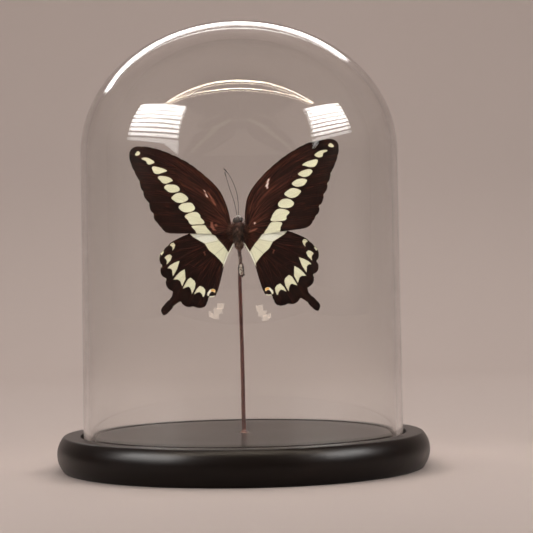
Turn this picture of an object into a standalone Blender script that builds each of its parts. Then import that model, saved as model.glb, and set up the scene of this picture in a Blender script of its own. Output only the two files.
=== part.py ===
"""A dried swallowtail butterfly on a thin stem, under a glass dome on a turned wooden base.

Frame: metres, +Z up. The origin is the centre of the base's underside, which is the object's flat
face to rest on. The butterfly shows its upper side towards -Y, with its head up.
"""

import math

import bmesh
import bpy
from mathutils import Matrix, Vector

MM = 0.001
GAP = 0.3 * MM  # clearance between pieces that touch on the real object
TURNED_STEPS = 60  # sides of every turned piece

# Base: a turned disc with a bulging edge and a groove for the dome
BASE_HEIGHT = 16.0 * MM
BASE_RADIUS = 85.0 * MM  # at the middle of the bulging edge
BASE_TOP_RADIUS = 81.8 * MM
GROOVE_INNER_RADIUS = 67.5 * MM
GROOVE_OUTER_RADIUS = 74.2 * MM
GROOVE_DEPTH = 4.0 * MM
EDGE_STEPS = 8

# Dome: a straight glass cylinder, a little wider at its rim, closed by half an ellipse
OBJECT_HEIGHT = 204.0 * MM
DOME_RIM_RADIUS = 73.0 * MM
DOME_SHOULDER_RADIUS = 72.3 * MM
DOME_CROWN_RISE = 59.5 * MM
GLASS = 3.0 * MM
CROWN_STEPS = 9
RIM_STEPS = 4

# Stem: a thin rod, glued into the base, which tapers and leans a little
STEM_FOOT_RADIUS = 0.98 * MM
STEM_TIP_RADIUS = 0.78 * MM
STEM_HOLE_RADIUS = STEM_FOOT_RADIUS + GAP
STEM_HOLE_DEPTH = 9.0 * MM
STEM_ROUTE = (  # x, y, z in mm from the foot to the tip
    (0.15, 0.0, 7.3),
    (0.15, 0.0, 16.0),
    (0.0, 0.1, 45.0),
    (-0.45, 0.45, 75.0),
    (-0.66, 0.6, 90.3),
)
PIN_RADIUS = 0.22 * MM
PIN_ROUTE = ((-0.6, 0.6, 90.7), (-0.2, 0.6, 94.0), (-0.35, 0.5, 98.5), (-0.7, 0.3, 102.6))

# Butterfly: the middle of the thorax, the set of the wings and their thickness
THORAX = Vector((-0.8, -2.5, 107.7)) * MM
DIHEDRAL = math.radians(8.0)  # how far the wings rise towards the viewer
HINDWING_LIFT = math.radians(1.5)  # the right hindwing is set a little higher than the left
WING_THICKNESS = 0.4 * MM
WING_STEP = 1.6 * MM  # longest edge along a wing's outline

# Wing outlines: mm outwards and upwards from the thorax, round from the root along the front edge.
# A point with a third number is a corner, such as a vein's end where the margin is nicked, and
# that number is how far the margin bows out from the chord to the next corner.
FOREWING_LEFT = (
    (3.2, 3.4, 0.0), (4.4, 9.3), (5.8, 13.7), (8.0, 18.4), (11.1, 22.3), (15.5, 26.4),
    (19.7, 29.9), (24.3, 32.9), (31.5, 36.4), (38.0, 38.6), (43.6, 39.4), (47.2, 38.7),
    (48.9, 35.9), (48.2, 31.4), (46.5, 27.4), (44.6, 23.5, 0.3), (43.0, 18.7, 0.5),
    (40.4, 13.6, 0.6), (38.4, 8.6, 0.6), (36.4, 4.1, 0.0), (33.7, 0.8), (31.0, -0.3),
    (19.3, -0.6), (3.2, -1.2, 0.0),
)
FOREWING_RIGHT = (
    (3.1, 3.2, 0.0), (2.9, 6.2), (3.2, 10.3), (4.1, 15.1), (6.3, 19.5), (9.6, 23.6),
    (12.8, 27.0), (16.0, 29.8), (20.8, 33.6), (26.0, 36.8), (30.8, 39.3), (36.0, 40.7),
    (41.5, 41.5), (44.8, 40.6), (46.1, 37.8), (45.6, 33.8), (44.3, 29.9), (42.4, 25.8, 0.3),
    (40.8, 21.2, 0.5), (39.0, 16.2, 0.6), (36.9, 11.0, 0.6), (35.3, 6.4, 0.3), (32.6, 2.5),
    (29.6, 1.2), (22.2, 0.4), (12.5, -0.7), (3.2, -1.2, 0.0),
)
HINDWING = (
    (3.2, 1.2, 0.0), (11.0, 2.0), (18.5, 0.6), (24.3, -1.2), (30.4, -4.2), (34.4, -7.9, 1.5),
    (35.1, -14.8, 1.5), (33.3, -20.9, 1.3), (30.3, -26.8, 0.0), (31.0, -29.4), (33.9, -32.2),
    (35.7, -34.9), (34.8, -37.4), (32.2, -36.2), (29.6, -32.9), (26.9, -31.4, 1.1),
    (21.1, -33.8, 2.7), (14.1, -29.7, 0.4), (11.2, -28.9), (9.2, -23.2), (7.2, -16.1, 0.0),
    (4.8, -10.3), (2.3, -5.3), (3.0, -3.0, 0.0),
)

# Body: one grown piece. Rings of height, centre x, half width and half depth, in mm
BODY_SIDES = 16
BODY_RINGS = (
    (7.5, -0.37, 0.5, 0.5), (7.1, -0.37, 1.4, 1.2), (5.9, -0.37, 2.1, 1.8), (4.7, -0.3, 1.9, 1.7),
    (3.8, -0.1, 1.3, 1.5), (2.9, 0.0, 2.3, 2.6), (1.2, 0.0, 2.75, 3.1), (-0.8, 0.0, 2.65, 3.1),
    (-2.6, 0.05, 2.1, 2.6), (-4.0, 0.1, 1.7, 2.1), (-5.6, 0.1, 1.75, 2.1), (-7.2, 0.15, 1.5, 2.0),
    (-8.6, 0.3, 0.95, 1.9), (-11.0, 0.5, 0.55, 1.8), (-14.0, 0.7, 0.5, 1.7), (-15.2, 0.75, 1.1, 1.7),
    (-18.0, 0.85, 1.4, 1.6), (-19.8, 0.95, 1.2, 1.3), (-20.6, 1.0, 0.4, 0.6),
)

# Feelers: x, y, z in mm from the thorax, with a radius that swells to a club
ANTENNA_RADIUS = 0.15 * MM
ANTENNA_CLUB = 1.9  # the club's radius, in shaft radii
ANTENNA_LEFT = (
    (-0.5, -0.2, 7.9), (-1.7, -0.3, 13.3), (-3.8, -0.1, 20.0), (-5.4, 0.6, 25.7), (-5.9, 1.0, 27.6),
)
ANTENNA_RIGHT = (
    (0.1, -0.2, 7.9), (0.0, -0.6, 13.9), (-0.9, -1.6, 19.2), (-3.1, -2.6, 24.5), (-5.3, -3.3, 27.8),
    (-6.4, -3.4, 28.8),
)

# Legs, folded up behind the thorax: x outwards, y and z in mm from the thorax
LEG_RADIUS = 0.26 * MM
LEG_TIP = 0.5  # the foot's radius, in thigh radii
LEGS = {
    "front": ((1.0, 2.9, 4.0), (2.4, 4.4, 3.6), (2.6, 5.1, 5.1), (1.8, 4.8, 6.4), (1.3, 4.3, 7.0)),
    "middle": ((1.2, 3.5, 1.2), (2.9, 5.7, 2.0), (3.7, 6.0, 0.2), (2.8, 5.4, -3.0), (2.1, 4.9, -5.0)),
    "hind": ((1.1, 3.2, -1.6), (2.2, 4.2, -0.6), (4.3, 4.4, -2.6), (3.7, 3.6, -5.8), (2.9, 3.0, -7.6)),
}

# Principled colours: red, green, blue, then roughness and metallic
FINISHES = {
    "dark_wood": (0.016, 0.009, 0.007, 0.35, 0.0),
    "glass": (0.93, 0.95, 0.94, 0.02, 0.0),
    "stem_wood": (0.075, 0.018, 0.014, 0.45, 0.0),
    "steel": (0.45, 0.44, 0.43, 0.3, 1.0),
    "wing_scales": (0.022, 0.009, 0.007, 0.7, 0.0),
    "fur": (0.045, 0.026, 0.018, 0.9, 0.0),
    "horn": (0.012, 0.008, 0.007, 0.4, 0.0),
}


def clear_scene():
    """Removes every object, so that the model starts from nothing."""
    for existing in list(bpy.data.objects):
        bpy.data.objects.remove(existing, do_unlink=True)


def finish(name):
    """The Principled material of this name, made once."""
    material = bpy.data.materials.get(name)
    if material is None:
        red, green, blue, roughness, metallic = FINISHES[name]
        material = bpy.data.materials.new(name)
        material.use_nodes = True
        shader = material.node_tree.nodes["Principled BSDF"]
        shader.inputs["Base Color"].default_value = (red, green, blue, 1.0)
        shader.inputs["Roughness"].default_value = roughness
        shader.inputs["Metallic"].default_value = metallic
        if name == "glass":
            shader.inputs["Transmission Weight"].default_value = 1.0
    return material


def add_object(name, data, material):
    """Links a new object with this data and one material."""
    data.materials.append(finish(material))
    made = bpy.data.objects.new(name, data)
    bpy.context.scene.collection.objects.link(made)
    return made


def add_mesh(name, shape, material, smooth_angle=None):
    """Turns a bmesh into an object, shaded smooth except across edges sharper than the angle."""
    bmesh.ops.recalc_face_normals(shape, faces=shape.faces[:])
    mesh = bpy.data.meshes.new(name)
    shape.to_mesh(mesh)
    shape.free()
    if smooth_angle is not None:
        mesh.shade_smooth()
        mesh.set_sharp_from_angle(angle=smooth_angle)
    return add_object(name, mesh, material)


def turned(name, profile, material):
    """Spins a closed profile of (radius, height) about the Z axis. Its two ends lie on the axis."""
    shape = bmesh.new()
    points = [shape.verts.new((radius, 0.0, height)) for radius, height in profile]
    edges = [shape.edges.new(pair) for pair in zip(points, points[1:])]
    bmesh.ops.spin(shape, geom=points + edges, cent=(0, 0, 0), axis=(0, 0, 1), angle=math.tau,
                   steps=TURNED_STEPS, use_merge=True)
    bmesh.ops.remove_doubles(shape, verts=shape.verts[:], dist=0.001 * MM)
    return add_mesh(name, shape, material, smooth_angle=math.radians(30))


def base_profile():
    """Underside, bulging edge as a circular arc, rim, groove, raised middle and the stem's hole."""
    bulge = BASE_RADIUS - BASE_TOP_RADIUS
    half = BASE_HEIGHT / 2
    arc_radius = (half ** 2 + bulge ** 2) / (2 * bulge)
    reach = math.asin(half / arc_radius)
    profile = [(0.0, 0.0)]
    for step in range(EDGE_STEPS + 1):
        angle = reach * (2 * step / EDGE_STEPS - 1)
        radius = BASE_RADIUS + arc_radius * (math.cos(angle) - 1)
        profile.append((radius, half + arc_radius * math.sin(angle)))
    floor = BASE_HEIGHT - GROOVE_DEPTH
    profile += [(GROOVE_OUTER_RADIUS, BASE_HEIGHT), (GROOVE_OUTER_RADIUS, floor)]
    profile += [(GROOVE_INNER_RADIUS, floor), (GROOVE_INNER_RADIUS, BASE_HEIGHT)]
    hole_floor = BASE_HEIGHT - STEM_HOLE_DEPTH
    profile += [(STEM_HOLE_RADIUS, BASE_HEIGHT), (STEM_HOLE_RADIUS, hole_floor), (0.0, hole_floor)]
    return profile


def crown(shoulder_radius, shoulder_height, rise):
    """A quarter of an ellipse, from the shoulder up to the axis."""
    angles = [math.pi / 2 * step / CROWN_STEPS for step in range(CROWN_STEPS + 1)]
    curve = [(shoulder_radius * math.cos(a), shoulder_height + rise * math.sin(a)) for a in angles]
    curve[-1] = (0.0, shoulder_height + rise)
    return curve


def dome_profile():
    """From the outer top down to the round rim, which stands in the groove, and up the inside."""
    shoulder = OBJECT_HEIGHT - DOME_CROWN_RISE
    outer = crown(DOME_SHOULDER_RADIUS, shoulder, DOME_CROWN_RISE)
    inner = crown(DOME_SHOULDER_RADIUS - GLASS, shoulder, DOME_CROWN_RISE - GLASS)
    rim_centre = DOME_RIM_RADIUS - GLASS / 2
    rim_height = BASE_HEIGHT - GROOVE_DEPTH + GAP + GLASS / 2
    rim = []
    for step in range(RIM_STEPS + 1):
        angle = -math.pi * step / RIM_STEPS
        rim.append((rim_centre + GLASS / 2 * math.cos(angle), rim_height + GLASS / 2 * math.sin(angle)))
    return outer[::-1] + rim + inner


def smooth_route(points, spacing):
    """Points about one spacing apart on a Catmull-Rom curve through the given points."""
    guides = [Vector(point) for point in points]
    guides = [2 * guides[0] - guides[1]] + guides + [2 * guides[-1] - guides[-2]]
    route = [guides[1]]
    for before, start, end, after in zip(guides, guides[1:], guides[2:], guides[3:]):
        count = max(1, round((end - start).length / spacing))
        for step in range(1, count + 1):
            t = step / count
            pull = (end - before) * t + (2 * before - 5 * start + 4 * end - after) * t ** 2
            pull += (3 * start - before - 3 * end + after) * t ** 3
            route.append(start + pull / 2)
    return route


def rod(name, route, radii, material, sides_setting=2):
    """A round rod along a route in metres, with one radius for each of its points."""
    curve = bpy.data.curves.new(name, "CURVE")
    curve.dimensions = "3D"
    curve.bevel_depth = 1.0
    curve.bevel_resolution = sides_setting
    curve.use_fill_caps = True
    spline = curve.splines.new("POLY")
    spline.points.add(len(route) - 1)
    for point, place, radius in zip(spline.points, route, radii):
        point.co = (*place, 1.0)
        point.radius = radius
    return add_object(name, curve, material)


def taper(count, start, end):
    """Evenly changing values from start to end."""
    return [start + (end - start) * step / (count - 1) for step in range(count)]


def add_stem():
    """The rod that carries the butterfly, and the fine wire from its tip into the thorax."""
    route = smooth_route([Vector(point) * MM for point in STEM_ROUTE], 8 * MM)
    rod("stem", route, taper(len(route), STEM_FOOT_RADIUS, STEM_TIP_RADIUS), "stem_wood")
    route = smooth_route([Vector(point) * MM for point in PIN_ROUTE], 2 * MM)
    rod("pin", route, [PIN_RADIUS] * len(route), "steel")


def wing_outline(marks):
    """A closed outline in metres: smooth between the corners, or bowed out by half a sine wave."""
    outline = []
    corners = [i for i, mark in enumerate(marks) if len(mark) == 3]
    for first, last in zip(corners, corners[1:] + [corners[0] + len(marks)]):
        stretch = [Vector(marks[i % len(marks)][:2]) * MM for i in range(first, last + 1)]
        run = smooth_route(stretch, WING_STEP)
        chord = stretch[-1] - stretch[0]
        outward = Vector((-chord.y, chord.x)).normalized() * marks[first][2] * MM
        steps = len(run) - 1
        outline += [place + outward * math.sin(math.pi * i / steps) for i, place in enumerate(run[:-1])]
    return outline


def add_wing(name, marks, side, front, lift=0.0):
    """A flat wing, cut to its outline. side is -1 or 1, and front is its upper face's y at the root."""
    rise = math.tan(DIHEDRAL)
    shape = bmesh.new()
    ring = []
    for place in wing_outline(marks):
        across = place.x * math.cos(lift) - place.y * math.sin(lift)
        up = place.y * math.cos(lift) + place.x * math.sin(lift)
        ring.append(shape.verts.new((side * across, front - across * rise, up)))
    face = shape.faces.new(ring)
    walls = bmesh.ops.extrude_face_region(shape, geom=[face])
    moved = [item for item in walls["geom"] if isinstance(item, bmesh.types.BMVert)]
    bmesh.ops.translate(shape, verts=moved, vec=(0, WING_THICKNESS, 0))
    bmesh.ops.triangulate(shape, faces=[f for f in shape.faces if len(f.verts) > 4])
    made = add_mesh(name, shape, "wing_scales")
    made.location = (THORAX.x, THORAX.y, THORAX.z)
    return made


def add_wings():
    """Forewings in front, and hindwings one gap behind them."""
    hindwing_front = WING_THICKNESS + GAP
    add_wing("forewing_left", FOREWING_LEFT, -1, 0.0)
    add_wing("forewing_right", FOREWING_RIGHT, 1, 0.0)
    add_wing("hindwing_left", HINDWING, -1, hindwing_front)
    add_wing("hindwing_right", HINDWING, 1, hindwing_front, HINDWING_LIFT)


def add_body():
    """Head, thorax and pinched, dried abdomen, as rings bridged from top to bottom."""
    shape = bmesh.new()
    loops = []
    for index, (up, across, half_width, half_depth) in enumerate(BODY_RINGS):
        place = Matrix.Translation(Vector((across, 0.0, up)) * MM)
        stretch = Matrix.Diagonal((half_width * MM, half_depth * MM, 1.0, 1.0))
        ring = bmesh.ops.create_circle(shape, cap_ends=index in (0, len(BODY_RINGS) - 1),
                                       segments=BODY_SIDES, radius=1.0, matrix=place @ stretch)
        loops.append({edge for vert in ring["verts"] for edge in vert.link_edges})
    for upper, lower in zip(loops, loops[1:]):
        bmesh.ops.bridge_loops(shape, edges=[e for e in upper | lower if e.is_valid])
    made = add_mesh("body", shape, "fur", smooth_angle=math.radians(60))
    made.location = THORAX


def add_antennae():
    """Two clubbed feelers, which lean to the left and cross near their tips."""
    for name, marks in (("antenna_left", ANTENNA_LEFT), ("antenna_right", ANTENNA_RIGHT)):
        route = smooth_route([THORAX + Vector(point) * MM for point in marks], 1.6 * MM)
        last = len(route) - 1
        radii = [ANTENNA_RADIUS * (1 + (ANTENNA_CLUB - 1) * max(0.0, i / last - 0.85) / 0.15)
                 for i in range(last + 1)]
        rod(name, route, radii, "horn", sides_setting=1)


def add_legs():
    """Six folded legs, left and right of each pair as mirror images."""
    for pair, marks in LEGS.items():
        for side, word in ((-1, "left"), (1, "right")):
            route = [THORAX + Vector((side * x, y, z)) * MM for x, y, z in marks]
            route = smooth_route(route, 1.2 * MM)
            radii = taper(len(route), LEG_RADIUS, LEG_RADIUS * LEG_TIP)
            rod("leg_" + word + "_" + pair, route, radii, "horn", sides_setting=1)


def build():
    """Makes every piece of the object."""
    clear_scene()
    turned("base", base_profile(), "dark_wood")
    turned("dome", dome_profile(), "glass")
    add_stem()
    add_body()
    add_wings()
    add_antennae()
    add_legs()


build()
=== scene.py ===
"""A dried swallowtail butterfly on a thin stem, under a glass dome on a turned wooden base.

Shapes are worked out in millimetres and become metres when a mesh is made. The butterfly's own
numbers are measured from the middle of its thorax: u outwards along a wing, v upwards.
"""

import math

import bpy
import numpy as np
from bpy.props import FloatProperty, FloatVectorProperty, IntProperty, PointerProperty
from mathutils import Matrix


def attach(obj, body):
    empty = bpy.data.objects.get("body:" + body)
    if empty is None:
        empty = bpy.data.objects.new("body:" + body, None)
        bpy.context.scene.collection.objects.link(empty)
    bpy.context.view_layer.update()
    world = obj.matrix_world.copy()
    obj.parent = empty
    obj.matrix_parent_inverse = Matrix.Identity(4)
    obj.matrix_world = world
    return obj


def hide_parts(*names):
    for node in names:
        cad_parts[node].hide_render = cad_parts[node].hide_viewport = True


bl_info = {
    "name": "Butterfly under a glass dome",
    "version": (1, 0, 0),
    "blender": (4, 5, 0),
    "location": "3D View > Sidebar > Dome",
    "description": "Surfaces and finishes of a dried butterfly, its glass dome and its wooden base",
    "category": "Object",
}

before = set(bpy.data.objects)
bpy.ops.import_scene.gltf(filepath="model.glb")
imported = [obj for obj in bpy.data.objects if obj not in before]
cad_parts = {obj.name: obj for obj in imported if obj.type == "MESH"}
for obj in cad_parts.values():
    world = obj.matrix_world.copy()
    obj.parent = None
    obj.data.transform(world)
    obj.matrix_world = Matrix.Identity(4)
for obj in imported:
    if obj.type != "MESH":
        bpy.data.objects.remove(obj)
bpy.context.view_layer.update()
MM = 0.001
PER_MM = (1000.0, 1000.0, 1000.0)

# A direction that no stem, leg, feeler or clasper runs along, to start the rings of a tube from
SLANT = (0.36, 0.93, 0.12)

# The set of the butterfly, as the frame has it
THORAX = np.array((-0.8, -2.5, 107.7))
DIHEDRAL = math.radians(8.0)
HINDWING_LIFT = math.radians(1.5)
HINDWING_BEHIND = 0.7

# Wing outlines: u, v in mm from the root along the front edge. A third number marks a corner and
# says how far the margin bows out towards the next one.
FOREWING_LEFT = (
    (3.2, 3.4, 0.0), (4.4, 9.3), (5.8, 13.7), (8.0, 18.4), (11.1, 22.3), (15.5, 26.4),
    (19.7, 29.9), (24.3, 32.9), (31.5, 36.4), (38.0, 38.6), (43.6, 39.4), (47.2, 38.7),
    (48.9, 35.9), (48.2, 31.4), (46.5, 27.4), (44.6, 23.5, 0.3), (43.0, 18.7, 0.5),
    (40.4, 13.6, 0.6), (38.4, 8.6, 0.6), (36.4, 4.1, 0.0), (33.7, 0.8), (31.0, -0.3),
    (19.3, -0.6), (3.2, -1.2, 0.0),
)
FOREWING_RIGHT = (
    (3.1, 3.2, 0.0), (2.9, 6.2), (3.2, 10.3), (4.1, 15.1), (6.3, 19.5), (9.6, 23.6),
    (12.8, 27.0), (16.0, 29.8), (20.8, 33.6), (26.0, 36.8), (30.8, 39.3), (36.0, 40.7),
    (41.5, 41.5), (44.8, 40.6), (46.1, 37.8), (45.6, 33.8), (44.3, 29.9), (42.4, 25.8, 0.3),
    (40.8, 21.2, 0.5), (39.0, 16.2, 0.6), (36.9, 11.0, 0.6), (35.3, 6.4, 0.3), (32.6, 2.5),
    (29.6, 1.2), (22.2, 0.4), (12.5, -0.7), (3.2, -1.2, 0.0),
)
HINDWING = (
    (3.2, 1.2, 0.0), (11.0, 2.0), (18.5, 0.6), (24.3, -1.2), (30.4, -4.2), (34.4, -7.9, 1.5),
    (35.1, -14.8, 1.5), (33.3, -20.9, 1.3), (30.3, -26.8, 0.0), (31.0, -29.4), (33.9, -32.2),
    (35.7, -34.9), (34.8, -37.4), (32.2, -36.2), (29.6, -32.9), (26.9, -31.4, 1.1),
    (21.1, -33.8, 2.7), (14.1, -29.7, 0.4), (11.2, -28.9), (9.2, -23.2), (7.2, -16.1, 0.0),
    (4.8, -10.3), (2.3, -5.3), (3.0, -3.0, 0.0),
)

# How many of the marks run along the leading edge, on the left (-1) and on the right (1)
LEADING_MARKS = {-1: 12, 1: 14}

# Cream spots, each a rounded loop of u, v in mm
SPOTS_LEFT = (
    ((46.5, 35.4), (46.0, 36.0), (45.4, 37.0), (44.6, 37.1), (43.9, 36.3), (44.5, 35.4), (45.6, 35.1)),
    ((43.6, 33.8), (42.0, 34.3), (40.3, 34.1), (37.6, 32.3), (38.3, 31.5), (39.8, 31.0), (40.9, 31.5),
     (41.4, 32.6)),
    ((38.8, 29.6), (38.0, 30.2), (36.2, 29.9), (33.8, 29.2), (31.9, 28.1), (33.9, 27.3), (36.0, 26.7),
     (37.7, 27.1), (38.3, 28.2)),
    ((36.2, 25.0), (35.3, 25.8), (33.2, 25.7), (30.8, 25.0), (29.4, 23.7), (30.3, 23.1), (32.6, 22.3),
     (34.1, 22.7), (35.1, 23.8)),
    ((33.4, 20.5), (32.4, 21.7), (30.5, 21.9), (28.1, 21.6), (26.7, 20.6), (26.3, 19.4), (27.3, 18.6),
     (29.5, 18.2), (31.3, 18.5), (32.6, 19.6)),
    ((30.2, 15.7), (29.2, 17.0), (27.5, 17.9), (25.7, 18.0), (23.7, 16.9), (22.6, 15.5), (23.4, 14.3),
     (25.8, 13.5), (27.9, 13.8), (29.2, 14.7)),
    ((27.0, 11.4), (25.8, 12.9), (23.4, 13.5), (21.3, 13.5), (20.1, 12.3), (19.6, 10.9), (20.7, 9.7),
     (23.1, 9.1), (25.2, 9.6)),
    ((24.3, 7.2), (23.1, 8.4), (20.3, 9.3), (18.6, 9.1), (17.3, 7.8), (17.1, 6.7), (15.9, 5.5),
     (15.4, 4.3), (16.4, 3.7), (18.8, 3.6), (21.1, 3.5), (22.3, 4.3), (22.9, 5.6)),
    ((21.3, 2.8), (19.0, 3.2), (15.4, 3.3), (14.3, 1.9), (12.2, -0.9), (15.6, -1.4), (18.6, -1.0),
     (19.8, 1.0)),
)
SPOTS_RIGHT = (
    ((41.3, 38.4), (42.1, 39.5), (43.0, 39.2), (43.9, 38.1), (43.5, 37.6), (42.3, 37.7)),
    ((35.0, 34.3), (36.4, 35.5), (38.1, 36.3), (39.9, 36.5), (41.0, 36.3), (40.5, 35.6), (39.1, 35.1),
     (38.7, 33.6), (37.4, 33.1), (36.0, 33.4)),
    ((29.4, 29.8), (31.1, 31.1), (33.6, 31.9), (35.5, 32.3), (36.5, 31.9), (36.3, 30.8), (35.6, 29.5),
     (34.5, 28.8), (32.5, 28.8), (30.7, 29.4)),
    ((27.4, 25.8), (29.0, 27.0), (31.1, 27.7), (32.8, 27.9), (34.0, 27.1), (33.5, 25.9), (32.2, 24.8),
     (30.3, 24.3), (28.6, 24.8)),
    ((24.6, 21.5), (25.8, 22.7), (27.5, 23.5), (30.0, 23.6), (31.5, 22.8), (30.6, 21.2), (29.6, 20.4),
     (27.1, 19.9), (25.4, 20.5)),
    ((21.1, 16.9), (22.6, 18.4), (24.7, 19.4), (27.1, 19.0), (28.7, 18.0), (27.9, 16.6), (26.4, 15.4),
     (24.3, 14.9), (22.2, 15.7)),
    ((18.2, 12.4), (19.4, 14.0), (21.1, 14.7), (23.6, 14.4), (25.4, 12.8), (24.9, 11.4), (23.5, 10.6),
     (21.1, 10.4), (18.8, 11.0)),
    ((15.9, 8.0), (17.6, 9.8), (19.7, 10.2), (22.4, 9.4), (23.3, 8.3), (22.0, 6.8), (21.9, 5.6),
     (21.0, 4.8), (18.2, 4.5), (14.8, 4.8), (15.2, 6.4)),
    ((11.8, -1.2), (13.2, 1.6), (15.0, 4.1), (17.5, 4.3), (19.9, 3.7), (19.2, 1.8), (19.0, 0.4),
     (18.0, -1.2)),
)
# Hindwing: the pale band, then crescents with sharp horns, drawn as straight-sided loops
BAND = (
    (22.8, 1.2), (21.9, -0.9), (20.5, -2.2), (18.3, -3.5), (15.5, -5.1), (14.9, -6.1), (13.6, -8.2),
    (10.9, -10.5), (8.9, -12.6), (7.1, -14.9), (6.9, -16.2), (4.6, -12.6), (4.4, -10.0), (5.2, -8.5),
    (6.9, -6.1), (9.4, -3.3), (10.6, -1.6), (12.6, -0.8), (13.4, 1.0),
)
CRESCENTS = (
    ((31.4, -5.7), (30.6, -4.8), (29.5, -4.5), (28.8, -5.5), (29.2, -7.0), (30.2, -8.2), (30.0, -6.9),
     (30.5, -6.1)),
    ((35.8, -9.4), (34.2, -8.2), (33.9, -8.7), (35.0, -10.2)),
    ((33.9, -11.4), (32.7, -10.2), (31.3, -9.8), (30.3, -10.6), (31.0, -12.5), (32.9, -14.6), (32.7, -12.8),
     (33.2, -11.8)),
    ((32.7, -16.1), (31.2, -14.7), (29.3, -13.6), (26.9, -12.7), (27.5, -14.6), (28.1, -16.5), (30.1, -19.9),
     (30.3, -18.2), (30.4, -16.9), (31.3, -16.2)),
    ((30.0, -21.4), (28.4, -19.3), (26.8, -17.8), (24.7, -16.6), (24.5, -18.6), (24.4, -21.0), (26.0, -24.5),
     (26.5, -23.0), (26.9, -21.9), (28.1, -21.2)),
    ((25.9, -25.6), (24.7, -23.5), (23.4, -21.3), (22.1, -20.5), (20.3, -22.0), (19.9, -23.3), (20.3, -25.4),
     (21.7, -28.2), (21.9, -26.5), (22.4, -25.2), (23.2, -24.6)),
    ((21.0, -28.6), (19.6, -25.9), (18.0, -24.3), (16.4, -25.0), (15.5, -26.3), (15.7, -28.0), (16.5, -30.0),
     (17.1, -28.2), (18.1, -27.1), (19.3, -27.4)),
    ((14.8, -28.4), (14.5, -27.2), (14.0, -27.0), (13.6, -27.7), (13.9, -28.9), (14.4, -29.2)),
)
TORNAL_ARC = (
    (14.3, -27.2), (13.3, -26.0), (12.0, -25.7), (11.0, -26.3), (11.0, -27.3), (11.5, -27.7), (11.9, -27.0),
    (12.8, -27.0), (13.4, -27.6), (14.0, -28.4),
)
# Parts of the hindwing's marks that are whiter than the rest, and a strip along its inner edge
WHITES = (
    ((22.8, 1.6), (21.9, -0.9), (18.3, -3.5), (15.2, -5.0), (9.6, -3.7), (10.6, -1.6), (12.6, -0.8),
     (13.4, 1.4)),
    ((12.9, -25.4), (14.8, -26.6), (14.6, -28.9), (13.1, -28.4), (13.0, -27.3)),
)
INNER_STRIP = ((7.5, -16.4), (4.7, -10.6), (2.0, -5.3), (2.6, -5.2), (5.2, -10.0), (7.2, -14.6))
EDGE_SPECK = ((13.9, -29.0), (12.6, -29.1), (11.2, -28.8), (11.4, -29.9), (12.7, -30.1), (13.9, -29.9))

# Veins, each from the root to the margin, in mm. Veins that branch share their first points, so
# that every vein parts the wing into two sides.
CUBITAL_LEFT = ((4.2, 1.6), (9.0, 5.2), (14.5, 9.2), (19.5, 13.6), (23.5, 18.2), (26.2, 22.4), (27.6, 26.4))
RADIAL_LEFT = ((4.2, 2.6), (8.6, 12.5), (15.0, 20.8), (22.0, 26.2), (28.0, 29.4))
VEINS_LEFT = (
    ((4.2, 1.2), (11.0, 2.6), (18.9, 3.4), (36.4, 4.1)),
    CUBITAL_LEFT[:3] + ((21.3, 9.3), (38.4, 8.6)),
    CUBITAL_LEFT[:4] + ((24.9, 13.5), (40.4, 13.6)),
    CUBITAL_LEFT[:5] + ((29.0, 18.1), (43.0, 18.7)),
    CUBITAL_LEFT[:6] + ((32.0, 22.1), (44.6, 23.5)),
    CUBITAL_LEFT + ((34.6, 26.4), (46.5, 27.4)),
    RADIAL_LEFT + ((37.9, 30.7), (48.2, 31.6)),
    RADIAL_LEFT + ((36.0, 33.0), (43.9, 34.8), (48.9, 35.8)),
    RADIAL_LEFT[:4] + ((33.0, 33.8), (46.5, 38.9)),
    RADIAL_LEFT[:3] + ((27.0, 32.0), (40.0, 38.9)),
    RADIAL_LEFT[:2] + ((12.5, 20.4), (20.5, 28.6), (31.5, 36.4)),
    ((4.0, 3.2), (6.3, 11.5), (10.4, 19.6), (19.7, 29.9)),
)
CUBITAL_RIGHT = ((4.2, 1.6), (9.0, 5.8), (14.0, 10.2), (18.0, 14.6), (21.5, 19.4), (24.2, 24.2), (26.0, 28.4))
RADIAL_RIGHT = ((4.2, 2.6), (6.6, 12.5), (12.6, 21.6), (19.4, 28.2), (26.0, 32.2))
VEINS_RIGHT = (
    ((4.2, 1.2), (11.0, 3.2), (18.4, 4.4), (35.3, 6.4)),
    CUBITAL_RIGHT[:3] + ((21.0, 10.2), (36.9, 11.0)),
    CUBITAL_RIGHT[:4] + ((23.3, 14.8), (39.0, 16.2)),
    CUBITAL_RIGHT[:5] + ((26.5, 19.6), (40.8, 21.2)),
    CUBITAL_RIGHT[:6] + ((29.6, 23.9), (42.4, 25.8)),
    CUBITAL_RIGHT + ((32.7, 28.3), (44.3, 29.9)),
    RADIAL_RIGHT + ((36.4, 32.7), (45.6, 33.8)),
    RADIAL_RIGHT + ((34.6, 35.4), (41.8, 37.1), (46.1, 37.8)),
    RADIAL_RIGHT[:4] + ((30.5, 36.2), (44.2, 41.0)),
    RADIAL_RIGHT[:3] + ((24.4, 34.2), (36.0, 40.8)),
    RADIAL_RIGHT[:2] + ((9.6, 20.8), (17.0, 29.6), (26.0, 36.9)),
    ((4.0, 3.2), (4.0, 11.5), (7.6, 20.2), (16.0, 29.9)),
)
HIND_UPPER = ((3.6, -2.2), (9.4, -4.0), (15.2, -5.2), (20.6, -7.4))
HIND_LOWER = ((3.6, -2.9), (6.9, -6.9), (10.9, -10.3), (15.4, -14.4), (19.4, -16.6))
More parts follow.
